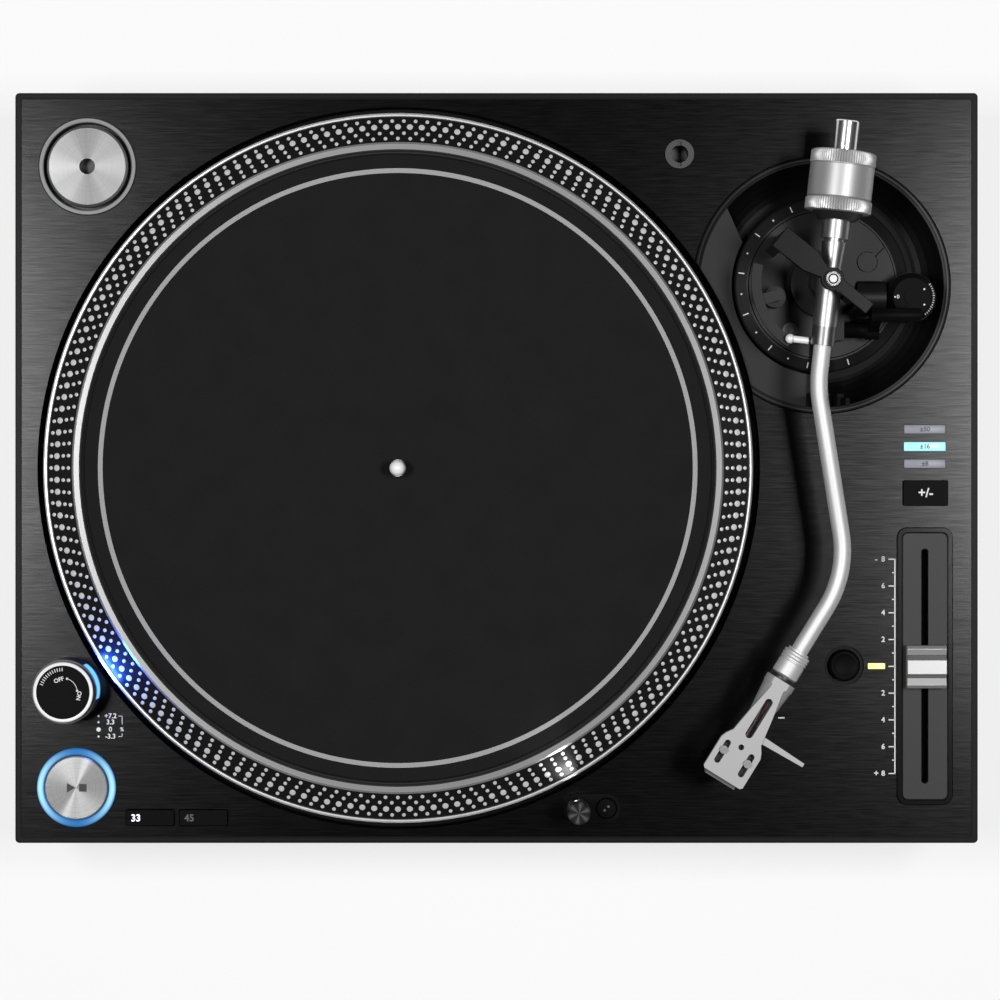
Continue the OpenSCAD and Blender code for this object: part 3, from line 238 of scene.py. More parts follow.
platterLook = {"lipIn": 0.1485, "lipOut": 0.1519, "rimIn": 0.1645, "groovePitch": 0.0003,
               "silver": 0.7, "lip": 0.27, "black": 0.007}


def platterMetal():
    look = Look("platterMetal")
    r = look.radius(spindleAt)
    lip = (r > platterLook["lipIn"]) * (r < platterLook["lipOut"])
    rim = r > platterLook["rimIn"]
    groove = look.rings(spindleAt, platterLook["groovePitch"])
    fine = look.grain(2200, 2)
    silver = look.mix(groove, platterLook["silver"] * 0.85, platterLook["silver"])
    lipSilver = look.mix(groove, platterLook["lip"] * 0.85, platterLook["lip"])
    black = look.mix(fine, platterLook["black"] * 0.7, platterLook["black"] * 1.3)
    return look.set(
        Base_Color=look.mix(lip + rim, black, look.mix(lip, silver, lipSilver)),
        Metallic=rim * 0.6 + lip * 0.3 + 0.1,
        Roughness=groove * 0.1 + (r < platterLook["lipIn"]) * 0.4 + 0.26,
        Normal=look.bump(groove, 0.2, 0.00002),
    )


# the lip's two colours run from its darker left to its paler right, a painted highlight
dishLook = {"lipIn": 0.0576, "lipOut": 0.0595, "lip": (0.015, 0.075), "wingLow": 0.0989, "wing": 0.034,
            "bowl": 0.003}


def dishGloss():  # black bowl, dark grey wing, and a grey lip with a painted highlight that makes it paler to the right
    look = Look("dishGloss")
    r = look.radius(pivotAt)
    inside = r < dishLook["lipIn"]
    lip = (1 - inside) * (r < dishLook["lipOut"])
    wing = (look.axis("Z") > dishLook["wingLow"]) * inside
    # painted highlight: the lip is paler towards the right
    right = (look.bearing(pivotAt) + math.pi / 2).sine() * 0.5 + 0.5
    fine = look.grain(1800, 2)
    shade = look.mix(wing, dishLook["bowl"], dishLook["wing"])
    look.set(Specular_IOR_Level=0.05)
    return look.set(
        Base_Color=look.mix(lip, shade, look.mix(right, *dishLook["lip"])),
        Roughness=wing * 0.1 + fine * 0.06 + 0.36,
        Normal=look.bump(fine, 0.1, 0.00001),
    )


sleeveLook = {"collarFrom": 0.0215, "collarTo": 0.032, "chromeFrom": 0.058, "pinLeft": 0.0094,
              "satin": 0.34, "collar": 0.2, "chrome": 0.84}


def sleeveMetal():  # satin by the pivot, a darker front collar, a pale lift pin, a polished rear shaft
    look = Look("sleeveMetal")
    r = look.radius(pivotAt)
    polished = r > sleeveLook["chromeFrom"]
    front = look.axis("Y") < pivotAt.y
    collar = (r > sleeveLook["collarFrom"]) * (r < sleeveLook["collarTo"]) * front
    pin = look.axis("X") < pivotAt.x - sleeveLook["pinLeft"]
    fine = look.grain(2000, 2)
    satin = look.mix(fine, sleeveLook["satin"] * 0.9, sleeveLook["satin"] * 1.1)
    body = look.mix(collar, satin, sleeveLook["collar"])
    return look.set(
        Base_Color=look.mix(polished + pin, body, sleeveLook["chrome"]),
        Metallic=1 - pin * 0.9,
        Roughness=0.36 - polished * 0.16 + fine * 0.04,
        Normal=look.bump(fine, 0.05, 0.00001),
    )


cartridgeLook = {"tipFrom": 0.0674, "tip": (0.1, 0.14), "shell": 0.006}


def cartridgeShell():  # black, with a pale front edge
    look = Look("cartridgeShell")
    dx = look.axis("X") - headAt.x
    dy = look.axis("Y") - headAt.y
    tip = (dx * -math.sin(headTurn) - dy * math.cos(headTurn)) > cartridgeLook["tipFrom"]
    fine = look.grain(1600, 3)
    look.set(Specular_IOR_Level=0.3)
    return look.set(
        Base_Color=look.mix(tip, cartridgeLook["shell"], look.mix(fine, *cartridgeLook["tip"])),
        Roughness=fine * 0.1 + 0.4,
        Normal=look.bump(fine, 0.2, 0.00002),
    )


cupLook = {"ringIn": 0.0207, "ringOut": 0.0226, "ring": 0.2, "rest": 0.008}


def cupGrey():  # a grey ring between black edges
    look = Look("cupGrey")
    r = look.radius(adapterAt)
    ring = (r > cupLook["ringIn"]) * (r < cupLook["ringOut"])
    fine = look.grain(1600, 3)
    grey = look.mix(fine, cupLook["ring"] * 0.8, cupLook["ring"] * 1.2)
    return look.set(
        Base_Color=look.mix(ring, cupLook["rest"], grey),
        Roughness=fine * 0.1 + 0.38,
        Normal=look.bump(fine, 0.2, 0.00002),
    )


borderLook = {"halfWidth": 0.2265, "halfDepth": 0.1765, "lineFrom": 0.0012, "lineTo": 0.0021, "low": 0.099,
              "paint": 0.004, "line": 0.009}


def borderPaint():  # black, with one grey line along the body's top edge, a painted highlight where that edge catches light
    look = Look("borderPaint")
    inset = (borderLook["halfWidth"] - look.axis("X").absolute()).least(
        borderLook["halfDepth"] - look.axis("Y").absolute())
    onTop = look.axis("Z") > borderLook["low"]
    # painted highlight: a grey line along the top edge
    line = (inset > borderLook["lineFrom"]) * (inset < borderLook["lineTo"]) * onTop
    fine = look.grain(900, 3)
    paint = look.mix(fine, borderLook["paint"] * 0.7, borderLook["paint"] * 1.3)
    look.set(Specular_IOR_Level=0.08)
    return look.set(
        Base_Color=look.mix(line, paint, borderLook["line"]),
        Roughness=fine * 0.1 + 0.36,
        Normal=look.bump(fine, 0.25, 0.00003),
    )


frameLook = {"plateTop": 0.1006, "plate": 0.018, "rim": 0.003}


def faderGloss():
    look = Look("faderGloss")
    rim = look.axis("Z") > frameLook["plateTop"]
    fine = look.grain(1800, 2)
    plate = look.mix(fine, frameLook["plate"] * 0.8, frameLook["plate"] * 1.2)
    look.set(Specular_IOR_Level=0.3)
    return look.set(
        Base_Color=look.mix(rim, plate, frameLook["rim"]),
        Roughness=0.48 - rim * 0.34,
        Normal=look.bump(fine, 0.15, 0.00002),
    )


ringLook = {"middle": 0.01695, "half": 0.0016, "base": [(0.005, 0.03, 0.06), (0.06, 0.14, 0.2)],
            "deep": (0.006, 0.14, 0.44), "pale": (0.45, 0.85, 1.0)}


def ringGlow():  # the ring's own glow, deeper blue at its edges; its paler left and right sides are a painted highlight, in both the glow and the base colour
    look = Look("ringGlow")
    # painted highlight: the sides facing the left and right lights are paler
    side = (look.bearing(startAt) * 2 + math.pi / 2).sine() * 0.5 + 0.5
    off = (look.radius(startAt) - ringLook["middle"]) / ringLook["half"]
    core = 1 - off * off
    look.set(Emission_Strength=0.95, Roughness=0.3, Specular_IOR_Level=0.15)
    return look.set(
        Base_Color=look.mix(side, *ringLook["base"]),
        Emission_Color=look.mix(core * (side * 0.97 + 0.03), ringLook["deep"], ringLook["pale"]),
    )


# edge is the radius beyond which the mat is darkened as painted shade
matLook = {"ringIn": 0.1374, "ringOut": 0.1396, "edge": 0.1457, "cloth": 0.0105, "print": 0.36,
           "threadPitch": 0.0009}


def feltCloth():
    look = Look("feltCloth")
    r = look.radius(spindleAt)
    ring = (r > matLook["ringIn"]) * (r < matLook["ringOut"])
    turns = 2 * math.pi / matLook["threadPitch"]
    weave = (look.axis("X") * turns).sine() * (look.axis("Y") * turns).sine()
    fuzz = look.grain(1500, 3)
    cloud = look.grain(60, 3)
    cloth = look.mix(weave * 0.2 + fuzz * 0.6 + cloud * 0.3, matLook["cloth"] * 0.4, matLook["cloth"] * 1.7)
    ink = look.mix(fuzz, matLook["print"] * 0.75, matLook["print"] * 1.2)
    clothWithEdgeShade = look.mix(r > matLook["edge"], cloth, matLook["cloth"] * 0.45)  # painted shade: the mat's cut edge is darkened
    look.set(Specular_IOR_Level=0.15, Sheen_Weight=0.04)
    return look.set(
        Base_Color=look.mix(ring, clothWithEdgeShade, ink),
        Roughness=fuzz * 0.1 + 0.88,
        Normal=look.bump(weave * 0.3 + fuzz, 0.5, 0.00015),
    )


def glowing(name, colour, strength, base=0.1):
    look = Look(name)
    cloud = look.grain(300, 2)
    dim = [c * 0.82 for c in rgb(colour)[:3]]
    look.set(Emission_Strength=strength, Roughness=0.3)
    return look.set(Emission_Color=look.mix(cloud, dim, colour), Base_Color=look.mix(cloud, base, base * 1.4))


finish = {
    "panel": brushedPanel(),
    "border": borderPaint(),
    "cabinet": grained("cabinetGrain", 0.012, 0.62, 1100, depth=0.00008),
    "platter": platterMetal(),
    "dot": grained("dotSilver", 0.7, 0.35, 2500, 0.25, variation=0.08),
    "felt": feltCloth(),
    "yoke": grained("yokeBlack", 0.004, 0.3, 900, depth=0.00001, gloss=0.12),
    "dish": dishGloss(),
    "fader": faderGloss(),
    "matte": grained("matteSilver", 0.34, 0.5, 2400, 0.35, 0.00002, variation=0.05),
    "tube": grained("tubeSilver", 0.62, 0.55, 2400, 0.6, 0.00002, variation=0.05),
    "cup": cupGrey(),
    "grey": grained("satinGrey", 0.09, 0.44, 1600, 0.55),
    "darkGrey": grained("darkGrey", 0.009, 0.42, 1600, gloss=0.18),
    "satin": grained("satinSilver", 0.42, 0.44, 2400, 0.6, 0.00002, variation=0.06),
    "steel": grained("turnedSteel", 0.55, 0.3, 1800, 1.0, variation=0.1),
    "slider": grained("sliderSilver", 0.4, 0.44, 2400, 0.6, 0.00002, variation=0.06),
    "sleeve": sleeveMetal(),
    "stud": grained("studSteel", 0.2, 0.4, 1800, 0.5, variation=0.1),
    "cartridge": cartridgeShell(),
    "bright": grained("brightTrim", 0.85, 0.35, 2400, 0.0, variation=0.04),
    "deepBlack": grained("deepBlack", 0.004, 0.45, 900, depth=0.00001, gloss=0.03),
    "brass": grained("turnedBrass", (0.62, 0.46, 0.2), 0.3, 1800, 1.0, variation=0.1),
    "black": grained("blackPlastic", 0.013, 0.42, 1500),
    "rubber": grained("softRubber", 0.016, 0.7, 1300, depth=0.00006),
    "magnet": grained("ferrite", 0.05, 0.6, 900),
    "board": grained("boardGreen", (0.02, 0.1, 0.04), 0.45, 700),
    # the adapter, start button and lamp post top carry painted highlight fans
    "adapter": spunMetal("spunAdapter", adapterAt, 0.08, 0.28,
                         [(0, 0.6, 3), (55, 0.3, 10), (128, 0.3, 10)]),
    "start": spunMetal("spunStart", startAt, 0.12, 0.44, [(69, 0.7, 40), (110, 0.5, 2)]),
    "lamp": spunMetal("spunLamp", lampAt, 0.003, 0.1, [(20, 0.8, 2)], 6, 0.03),
    "ring": ringGlow(),
    "lens": glowing("lensGlow", (0.16, 0.6, 1.0), 1.1),
    "lit": glowing("lampLit", (0.3, 0.8, 1.0), 1.3),
    "unlit": grained("lampUnlit", (0.24, 0.25, 0.3), 0.4, 900, variation=0.15),
    "zero": glowing("zeroLit", (0.95, 1.0, 0.25), 1.5),
    "print": grained("printWhite", 0.75, 0.6, 3000, variation=0.1),
    "faint": grained("printFaint", 0.09, 0.6, 3000, variation=0.1),
    "ink": grained("printInk", 0.03, 0.6, 3000, variation=0.1),
    "litPrint": glowing("printLit", (0.75, 0.85, 1.0), 1.3, 0.6),
    "redLead": grained("redLead", (0.12, 0.02, 0.02), 0.5, 2000),
    "paleLead": grained("paleLead", 0.15, 0.5, 2000),
    "ledWhite": glowing("ledWhite", (1.0, 1.0, 1.0), 4.0, 0.6),
}

nodeFinish = {
    "panel": "top_panel",
    "border": "top_chassis bottom_cover jack_panel",
    "cabinet": "base_cabinet",
    "platter": "platter",
    "adapter": "adapter_45",
    "start": "start_button",
    "lamp": "stylus_lamp",
    "matte": "headshell",
    "tube": "arm_tube lock_collar",
    "felt": "slipmat",
    "fader": "tempo_frame",
    "satin": "counterweight weight_dial",
    "slider": "tempo_slider",
    "stud": "cartridge_screws",
    "bright": "spindle",
    "unlit": "indicator_lamps",
    "cartridge": "cartridge",
    "cup": "adapter_cup",
    "steel": "bottom_screws ground_screw stylus",
    "sleeve": "arm_sleeve",
    "brass": "bearing_housing weight_bush",
    "magnet": "rotor_magnet",
    "board": "motor_stator switch_boards power_supply_board",
    "black": "mains_inlet strobe_housing tempo_fader headshell_socket",
    "deepBlack": "power_knob button_33 button_45 reset_button range_button cue_lever lamp_plate lamp_button "
                 "arm_rest rest_clip anti_skate_dial",
    "dish": "arm_dish",
    "darkGrey": "height_ring height_lock arm_base gimbal_frame lift_platform",
    "yoke": "arm_yoke",
    "lens": "strobe_lens",
    "ring": "start_ring",
    "rubber": "foot_front_left foot_front_right foot_rear_left foot_rear_right",
}
for name, members in nodeFinish.items():
    for node in members.split():
        nodes[node].data.materials.clear()
        nodes[node].data.materials.append(finish[name])
print("materials ready")


# modelling helpers

def built(name, bm, material, body, smoothAngle=35, smooth=True):
    mesh = bpy.data.meshes.new(name)
    bm.to_mesh(mesh)
    bm.free()
    mesh.materials.append(material)
    if smooth:
        mesh.shade_smooth()
        mesh.set_sharp_from_angle(angle=math.radians(smoothAngle))
    piece = bpy.data.objects.new(name, mesh)
    bpy.context.scene.collection.objects.link(piece)
    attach(piece, body)
    return piece


def move(bm, verts, matrix):
    bmesh.ops.transform(bm, matrix=matrix, verts=verts)


def turned(profile, steps):  # profile is radius and height in mm, spun about Z
    bm = bmesh.new()
    points = [bm.verts.new((r * mm, 0, z * mm)) for r, z in profile]
    edges = [bm.edges.new(pair) for pair in zip(points, points[1:])]
    bmesh.ops.spin(bm, geom=points + edges, cent=(0, 0, 0), axis=(0, 0, 1), angle=2 * math.pi, steps=steps,
                   use_merge=True)
    bmesh.ops.remove_doubles(bm, verts=bm.verts, dist=1e-7)
    bmesh.ops.recalc_face_normals(bm, faces=bm.faces)
    return bm


def box(bm, centre, size, turn=None):  # a small box in mm
    matrix = Matrix.Translation(Vector(centre) * mm)
    if turn:
        matrix = matrix @ turn
    scale = Matrix.Diagonal((*(Vector(size) * mm), 1))
    bmesh.ops.create_cube(bm, size=1, matrix=matrix @ scale)


def disc(bm, centre, radius, height, sides=20, turn=0.0):  # a small flat disc in mm
    at = Matrix.Translation(Vector(centre) * mm) @ Matrix.Rotation(turn, 4, "Z")
    bmesh.ops.create_cone(bm, cap_ends=True, segments=sides, radius1=radius * mm, radius2=radius * mm,
                          depth=height * mm, matrix=at)


def lettering(bm, label, size, centre, turn=0.0):  # numbers and signs as thin solids, in mm
    curve = bpy.data.curves.new("label", "FONT")
    curve.body = label
    curve.size = size * mm
    curve.extrude = 0.02 * mm
    curve.offset = 0.02 * size * mm
    curve.align_x = "CENTER"
    curve.align_y = "CENTER"
    curve.resolution_u = 3
    holder = bpy.data.objects.new("label", curve)
    bpy.context.scene.collection.objects.link(holder)
    seen = holder.evaluated_get(bpy.context.evaluated_depsgraph_get())
    mesh = bpy.data.meshes.new_from_object(seen)
    mesh.transform(Matrix.Translation(Vector(centre) * mm) @ Matrix.Rotation(turn, 4, "Z"))
    bm.from_mesh(mesh)
    bpy.data.objects.remove(holder)
    bpy.data.curves.remove(curve)
    bpy.data.meshes.remove(mesh)


def rounded(bm, edges, width, segments):
    return bmesh.ops.bevel(bm, geom=edges, offset=width * mm, offset_type="OFFSET", segments=segments,
                           profile=0.5, affect="EDGES", clamp_overlap=True, material=-1)


softShape = {"flatArea": 20 * mm * mm, "curve": (1.5, 35), "corner": 40, "segments": 2}  # angles in degrees


def softened(node, width, material, body):  # the CAD solid with its edges rounded
    s = softShape
    least, most = s["curve"]
    bm = bmesh.new()
    bm.from_mesh(nodes[node].data)
    bmesh.ops.remove_doubles(bm, verts=bm.verts, dist=1e-6)
    bmesh.ops.dissolve_limit(bm, angle_limit=math.radians(1), verts=bm.verts, edges=bm.edges)
    bends = {e: math.degrees(e.calc_face_angle(0)) for e in bm.edges if len(e.link_faces) == 2}
    for face in bm.faces:  # only curved walls are shaded smooth
        curved = any(least < bends.get(e, 0) < most for e in face.edges)
        face.smooth = curved and face.calc_area() < s["flatArea"]
    corners = [e for e, bend in bends.items() if bend > s["corner"]]
    for face in rounded(bm, corners, width, s["segments"])["faces"]:
        face.smooth = face.calc_area() < s["flatArea"]
    piece = built(node + "Soft", bm, material, body, smooth=False)
    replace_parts(piece, node)


# camera: straight down, as in the photograph

cameraView = {"height": 1.8, "lens": 130.1, "sensor": 36, "shiftX": 0.0035, "shiftY": -0.032}


def makeCamera():
    data = bpy.data.cameras.new("camera")
    data.lens = cameraView["lens"]
    data.sensor_width = cameraView["sensor"]
    data.shift_x = cameraView["shiftX"]
    data.shift_y = cameraView["shiftY"]
    camera = bpy.data.objects.new("camera", data)
    camera.location = (0, 0, cameraView["height"])
    bpy.context.scene.collection.objects.link(camera)
    bpy.context.scene.camera = camera


makeCamera()
print("camera set")


# platter: dotted bevel and mat

dotShape = {  # rows have count, radius and dot radius, the bevel's edges radius and height
    "rows": [(168, 153.6, 1.0), (174, 156.2, 1.0), (180, 159.3, 1.6), (186, 162.1, 1.0)],
    "bevelIn": (152, 116.1), "bevelOut": (164, 110.6),
    "rise": 0.25, "taper": 0.86, "rim": 0.25, "crown": 0.08, "sides": 10,
}


def strobeDots():
    bm = bmesh.new()
    s = dotShape
    (r0, z0), (r1, z1) = s["bevelIn"], s["bevelOut"]
    slope = math.atan2(z0 - z1, r1 - r0)
    for count, radius, size in s["rows"]:
        made = bmesh.ops.create_cone(bm, cap_ends=True, segments=s["sides"], radius1=size * mm,
                                     radius2=size * s["taper"] * mm, depth=2 * s["rise"] * mm)
        lid = [f for f in {f for v in made["verts"] for f in v.link_faces} if f.normal.z > 0.9]
        inner = bmesh.ops.inset_individual(bm, faces=lid, thickness=size * s["rim"] * mm)
        bmesh.ops.translate(bm, verts=lid[0].verts, vec=(0, 0, s["crown"] * mm))
        dot = list({v for f in inner["faces"] for v in f.verts} | set(made["verts"]) | set(lid[0].verts))
        z = z0 + (radius - r0) * (z1 - z0) / (r1 - r0)
        place = Matrix.Translation(Vector((radius, 0, z)) * mm) @ Matrix.Rotation(slope, 4, "Y")
        move(bm, dot, place)
        edges = list({e for v in dot for e in v.link_edges})
        faces = list({f for v in dot for f in v.link_faces})
        bmesh.ops.spin(bm, geom=dot + edges + faces, cent=(0, 0, 0), axis=(0, 0, 1),
                       angle=2 * math.pi * (count - 1) / count, steps=count - 1, use_duplicate=True)
    move(bm, bm.verts, Matrix.Translation(spindleAt))
    built("strobeDots", bm, finish["dot"], "platter", 50)


matShape = {"outer": 146.7, "hole": 3.975, "low": 115.5, "top": 117.3, "round": 0.6, "chamfer": 0.2,
            "rings": (40, 100)}


def feltMat():
    s = matShape
    r, low, top, cut = s["outer"], s["low"], s["top"], s["chamfer"]
    near, far = s["rings"]
    bm = turned([
        (s["hole"], low), (s["hole"], top - cut), (s["hole"] + cut, top), (near, top), (far, top),
        (r - s["round"], top), (r - cut, top - cut), (r, top - s["round"]), (r, low + cut), (r - cut, low),
        (far, low), (s["hole"], low),
    ], 160)
    move(bm, bm.verts, Matrix.Translation(spindleAt))
    piece = built("feltMat", bm, finish["felt"], "slipmat", 60)
    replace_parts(piece, "slipmat")


strobeDots()
feltMat()
print("platter dressed")


# tonearm

armPlace = Matrix.Translation(pivotAt + armUp) @ Matrix.Rotation(-armTurn, 4, "Z")
alongArm = armPlace @ Matrix.Rotation(-quarter, 4, "X")  # Z of a turned piece runs to the rear
headPlace = Matrix.Translation(headAt + armUp) @ Matrix.Rotation(-headTurn, 4, "Z")
alongHead = headPlace @ Matrix.Rotation(quarter, 4, "X")  # Z of a turned piece runs to the tip

weightShape = {"bore": 7.55, "front": 28.0, "dialFrom": 31.4, "dialTo": 37.8, "from": 37.9, "to": 59.6,
               "radius": 14.8, "band": 15.0, "bandLength": 6.2, "hub": 9.0, "rearFace": 10.5, "recess": 0.8,
               "dialBore": 9.05, "dialRadius": 15.3, "ridges": 80, "ridgesFrom": 14.6, "ridgeDepth": 0.5}


def knurl(bm, low, high):  # every second column of a turned band goes in
    s = weightShape
    step = math.pi / s["ridges"]
    for v in bm.verts:
        if low * mm < v.co.z < high * mm and v.co.xy.length > s["ridgesFrom"] * mm:
            column = round(math.atan2(v.co.y, v.co.x) / step)
            if column % 2:
                v.co.xy *= 1 - s["ridgeDepth"] * mm / v.co.xy.length


def weightPieces():
    s = weightShape
    steps = 2 * s["ridges"]
    r, band, to, nose = s["radius"], s["band"], s["to"], s["bore"]
    edge = to - s["bandLength"]
    bm = turned([
        (nose, s["front"]), (nose + 1.2, s["front"]), (nose + 4.2, s["dialFrom"] - 0.1),
        (s["hub"], s["dialFrom"] - 0.1), (s["hub"], s["from"]), (r - 0.4, s["from"]), (r, s["from"] + 0.4),
        (r, edge - 0.5), (r - 0.4, edge - 0.2), (r - 0.4, edge), (band - 0.2, edge + 0.1), (band, edge + 0.4),
        (band, edge + 3.0), (band, to - 0.9), (band - 0.3, to - 0.5), (band - 1.2, to), (s["rearFace"], to),
        (s["rearFace"] - 0.3, to - s["recess"]), (nose, to - s["recess"]), (nose, s["front"]),
    ], steps)
    knurl(bm, edge + 0.2, to - 0.7)
    move(bm, bm.verts, alongArm)
    body = built("weightKnurled", bm, finish["satin"], "counterweight")
    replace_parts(body, "counterweight")

    r, low, high = s["dialRadius"], s["dialFrom"], s["dialTo"]
    bm = turned([
        (s["dialBore"], low), (r - 1.4, low), (r - 0.3, low + 0.5), (r, low + 0.9), (r, low + 3.2),
        (r, high - 0.8), (r - 0.4, high - 0.4), (r - 0.9, high), (s["dialBore"], high), (s["dialBore"], low),
    ], steps)
    knurl(bm, low + 0.6, high - 0.6)
    move(bm, bm.verts, alongArm)
    dial = built("dialKnurled", bm, finish["satin"], "weight_dial")
    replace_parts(dial, "weight_dial")

    tip, back = s["front"] - 0.05, s["front"] + 0.1  # a thin black skin on the front cone
    bm = turned([
        (nose + 0.02, tip), (nose + 1.3, tip), (nose + 4.3, low - 0.05), (nose + 4.1, low - 0.05),
        (nose + 1.1, back), (nose + 0.02, back), (nose + 0.02, tip),
    ], steps)
    move(bm, bm.verts, alongArm)
    built("weightNose", bm, finish["black"], "counterweight")


weightPieces()

leadShape = {"count": 4, "radius": 0.35, "pitch": 0.9, "from": -26, "to": -46, "height": 0.8, "sag": 2.2,
             "wander": 0.25, "steps": 10}


def headLeads():
    s = leadShape
    steps = s["steps"]
    span = (s["to"] - s["from"]) / steps
    for i in range(s["count"]):
        x = (i - (s["count"] - 1) / 2) * s["pitch"]
        bm = bmesh.new()
        start = Matrix.Translation(Vector((x, s["from"], s["height"])) * mm)
        made = bmesh.ops.create_circle(bm, segments=8, radius=s["radius"] * mm,
                                       matrix=start @ Matrix.Rotation(quarter, 4, "X"))
        loop = list({e for v in made["verts"] for e in v.link_edges})
        for k in range(1, steps + 1):
            t = k / steps
            grown = bmesh.ops.extrude_edge_only(bm, edges=loop)["geom"]
            verts = [g for g in grown if isinstance(g, bmesh.types.BMVert)]
            edges = [g for g in grown if isinstance(g, bmesh.types.BMEdge)]
            loop = [e for e in edges if all(v in verts for v in e.verts)]
            drop = s["sag"] * (math.sin(math.pi * t) - math.sin(math.pi * (t - 1 / steps)))
            side = s["wander"] * math.sin(i + 4 * t)
            bmesh.ops.translate(bm, verts=verts, vec=Vector((side, span, -drop)) * mm)
        bmesh.ops.holes_fill(bm, edges=bm.edges)
        bmesh.ops.recalc_face_normals(bm, faces=bm.faces)
        move(bm, bm.verts, headPlace)
        colour = finish["redLead"] if i % 2 else finish["paleLead"]
        built(f"headLead{i + 1}", bm, colour, "headshell")


headLeads()

softEdges = {  # edge width, finish, body and slot
    "headshell": (0.35, "matte", "headshell", "silver_metal"),
    "cartridge": (0.4, "cartridge", "headshell", "black_plastic"),
    "arm_yoke": (0.9, "yoke", "arm_base", "dark_grey"),
    "lift_platform": (0.3, "darkGrey", "lift_platform", "dark_grey"),
    "arm_rest": (0.5, "deepBlack", "arm_base", "black_plastic"),
    "cue_lever": (0.4, "deepBlack", "cue_lever", "black_plastic"),
    "tempo_slider": (0.4, "slider", "tempo_slider", "silver_metal"),
    "tempo_frame": (0.35, "fader", "chassis", "black_plastic"),
    "button_33": (0.4, "deepBlack", "button_33", "black_plastic"),
    "button_45": (0.4, "deepBlack", "button_45", "black_plastic"),
    "range_button": (0.4, "deepBlack", "range_button", "black_plastic"),
}
for node, (width, look, body, slot) in softEdges.items():
    softened(node, width, finish[look], body)

collarShape = {"bore": 5.25, "low": 0.3, "ribs": 3, "ribTop": 6.4, "ribFoot": 5.95, "pitch": 1.5,
               "plain": 6.25, "end": 12.3}
neckShape = {"inner": 6.1, "edge": 6.22, "outer": 6.3, "from": 12.7, "to": 14.7, "chamfer": 0.2}


def collarPieces():
    s = collarShape
    profile = [(s["bore"], s["low"]), (s["ribFoot"], s["low"])]
    for i in range(s["ribs"]):
        z = s["low"] + 0.3 + i * s["pitch"]
        profile += [(s["ribTop"], z + 0.2), (s["ribTop"], z + 0.9), (s["ribFoot"], z + 1.1)]
    z = s["low"] + 0.3 + s["ribs"] * s["pitch"]
    profile += [(s["ribFoot"], z), (s["plain"], z + 0.3), (s["plain"], s["end"] - 0.5),
                (s["plain"] - 0.5, s["end"]), (s["bore"], s["end"]), (s["bore"], s["low"])]
    bm = turned(profile, 64)
    move(bm, bm.verts, alongHead)
    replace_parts(built("collarRibbed", bm, finish["tube"], "lock_collar"), "lock_collar")

    s = neckShape
    near, far, low, high = s["inner"], s["outer"], s["from"], s["to"]
    bm = turned([
        (near, low), (s["edge"], low), (far, low + s["chamfer"]), (far, high - s["chamfer"]),
        (s["edge"], high), (near, high), (near, low),
    ], 64)
    move(bm, bm.verts, alongHead)
    built("neckRing", bm, finish["black"], "headshell")


collarPieces()

grooveShape = {"low": 107.6, "top": 108.7, "width": 18.3, "edge": 0.15, "rows": [(4.6, 2.0), (-4.4, 1.5)]}


def sliderGrooves():
    s = grooveShape
    bm = bmesh.new()
    for y, depth in s["rows"]:
        box(bm, (0, y, (s["low"] + s["top"]) / 2), (s["width"], depth, s["top"] - s["low"]))
    rounded(bm, bm.edges[:], s["edge"], 1)
    move(bm, bm.verts, Matrix.Translation(faderAt))
    built("sliderGrooves", bm, finish["black"], "tempo_slider")


sliderGrooves()

resetShape = {"stem": 2, "stemLow": 92.7, "radius": 7.3, "low": 97.0, "top": 101.6}


def resetDome():
    s = resetShape
    r, top = s["radius"], s["top"]
    bm = turned([
        (0, s["stemLow"]), (s["stem"], s["stemLow"]), (s["stem"], s["low"]), (r, s["low"]), (r, top - 0.9),
        (r - 0.3, top - 0.4), (r - 0.9, top - 0.1), (r - 1.5, top), (r - 2.1, top - 0.2),
        (r * 0.5, top - 0.6), (0, top - 0.7),
    ], 64)
    move(bm, bm.verts, Matrix.Translation(resetAt))
    piece = built("resetDome", bm, finish["deepBlack"], "reset_button", 50)
    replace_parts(piece, "reset_button")


resetDome()

capShape = {"low": 156.5, "top": 159.0, "radius": 3.75, "grooveOut": 2.4, "grooveIn": 1.7}


def pivotCap():
    s = capShape
    r, top, near, far = s["radius"], s["top"], s["grooveIn"], s["grooveOut"]
    bm = turned([
        (0, s["low"]), (r, s["low"]), (r, top - 0.5), (r - 0.45, top), (far, top), (far - 0.1, top - 0.5),
        (near + 0.1, top - 0.5), (near, top - 0.1), (0, top - 0.1),
    ], 40)
    move(bm, bm.verts, Matrix.Translation(pivotAt))
    built("pivotCap", bm, finish["satin"], "arm_base")

    high, low = top - 0.3, top - 0.55
    bm = turned([(near, low), (near, high), (far, high), (far, low), (near, low)], 40)
    move(bm, bm.verts, Matrix.Translation(pivotAt))
    built("pivotGroove", bm, finish["deepBlack"], "arm_base")


pivotCap()

screwShape = {"at": (-15.0, -21.3), "radius": 2.6, "washer": 3.5, "socket": 1.3, "low": 101.5, "top": 102.9}


def plateScrew():
    s = screwShape
    r, low, top = s["radius"], s["low"], s["top"]
    bm = turned([
        (0, low), (s["washer"], low), (s["washer"], low + 0.4), (r, low + 0.5), (r, top - 0.3),
        (r - 0.3, top), (s["socket"], top), (s["socket"] - 0.1, top - 0.8), (0, top - 0.8),
    ], 28)
    move(bm, bm.verts, Matrix.Translation(pivotAt + Vector((*s["at"], 0)) * mm))
    built("plateScrew", bm, finish["grey"], "arm_base")


plateScrew()
print("tonearm dressed")


# lamps and light windows

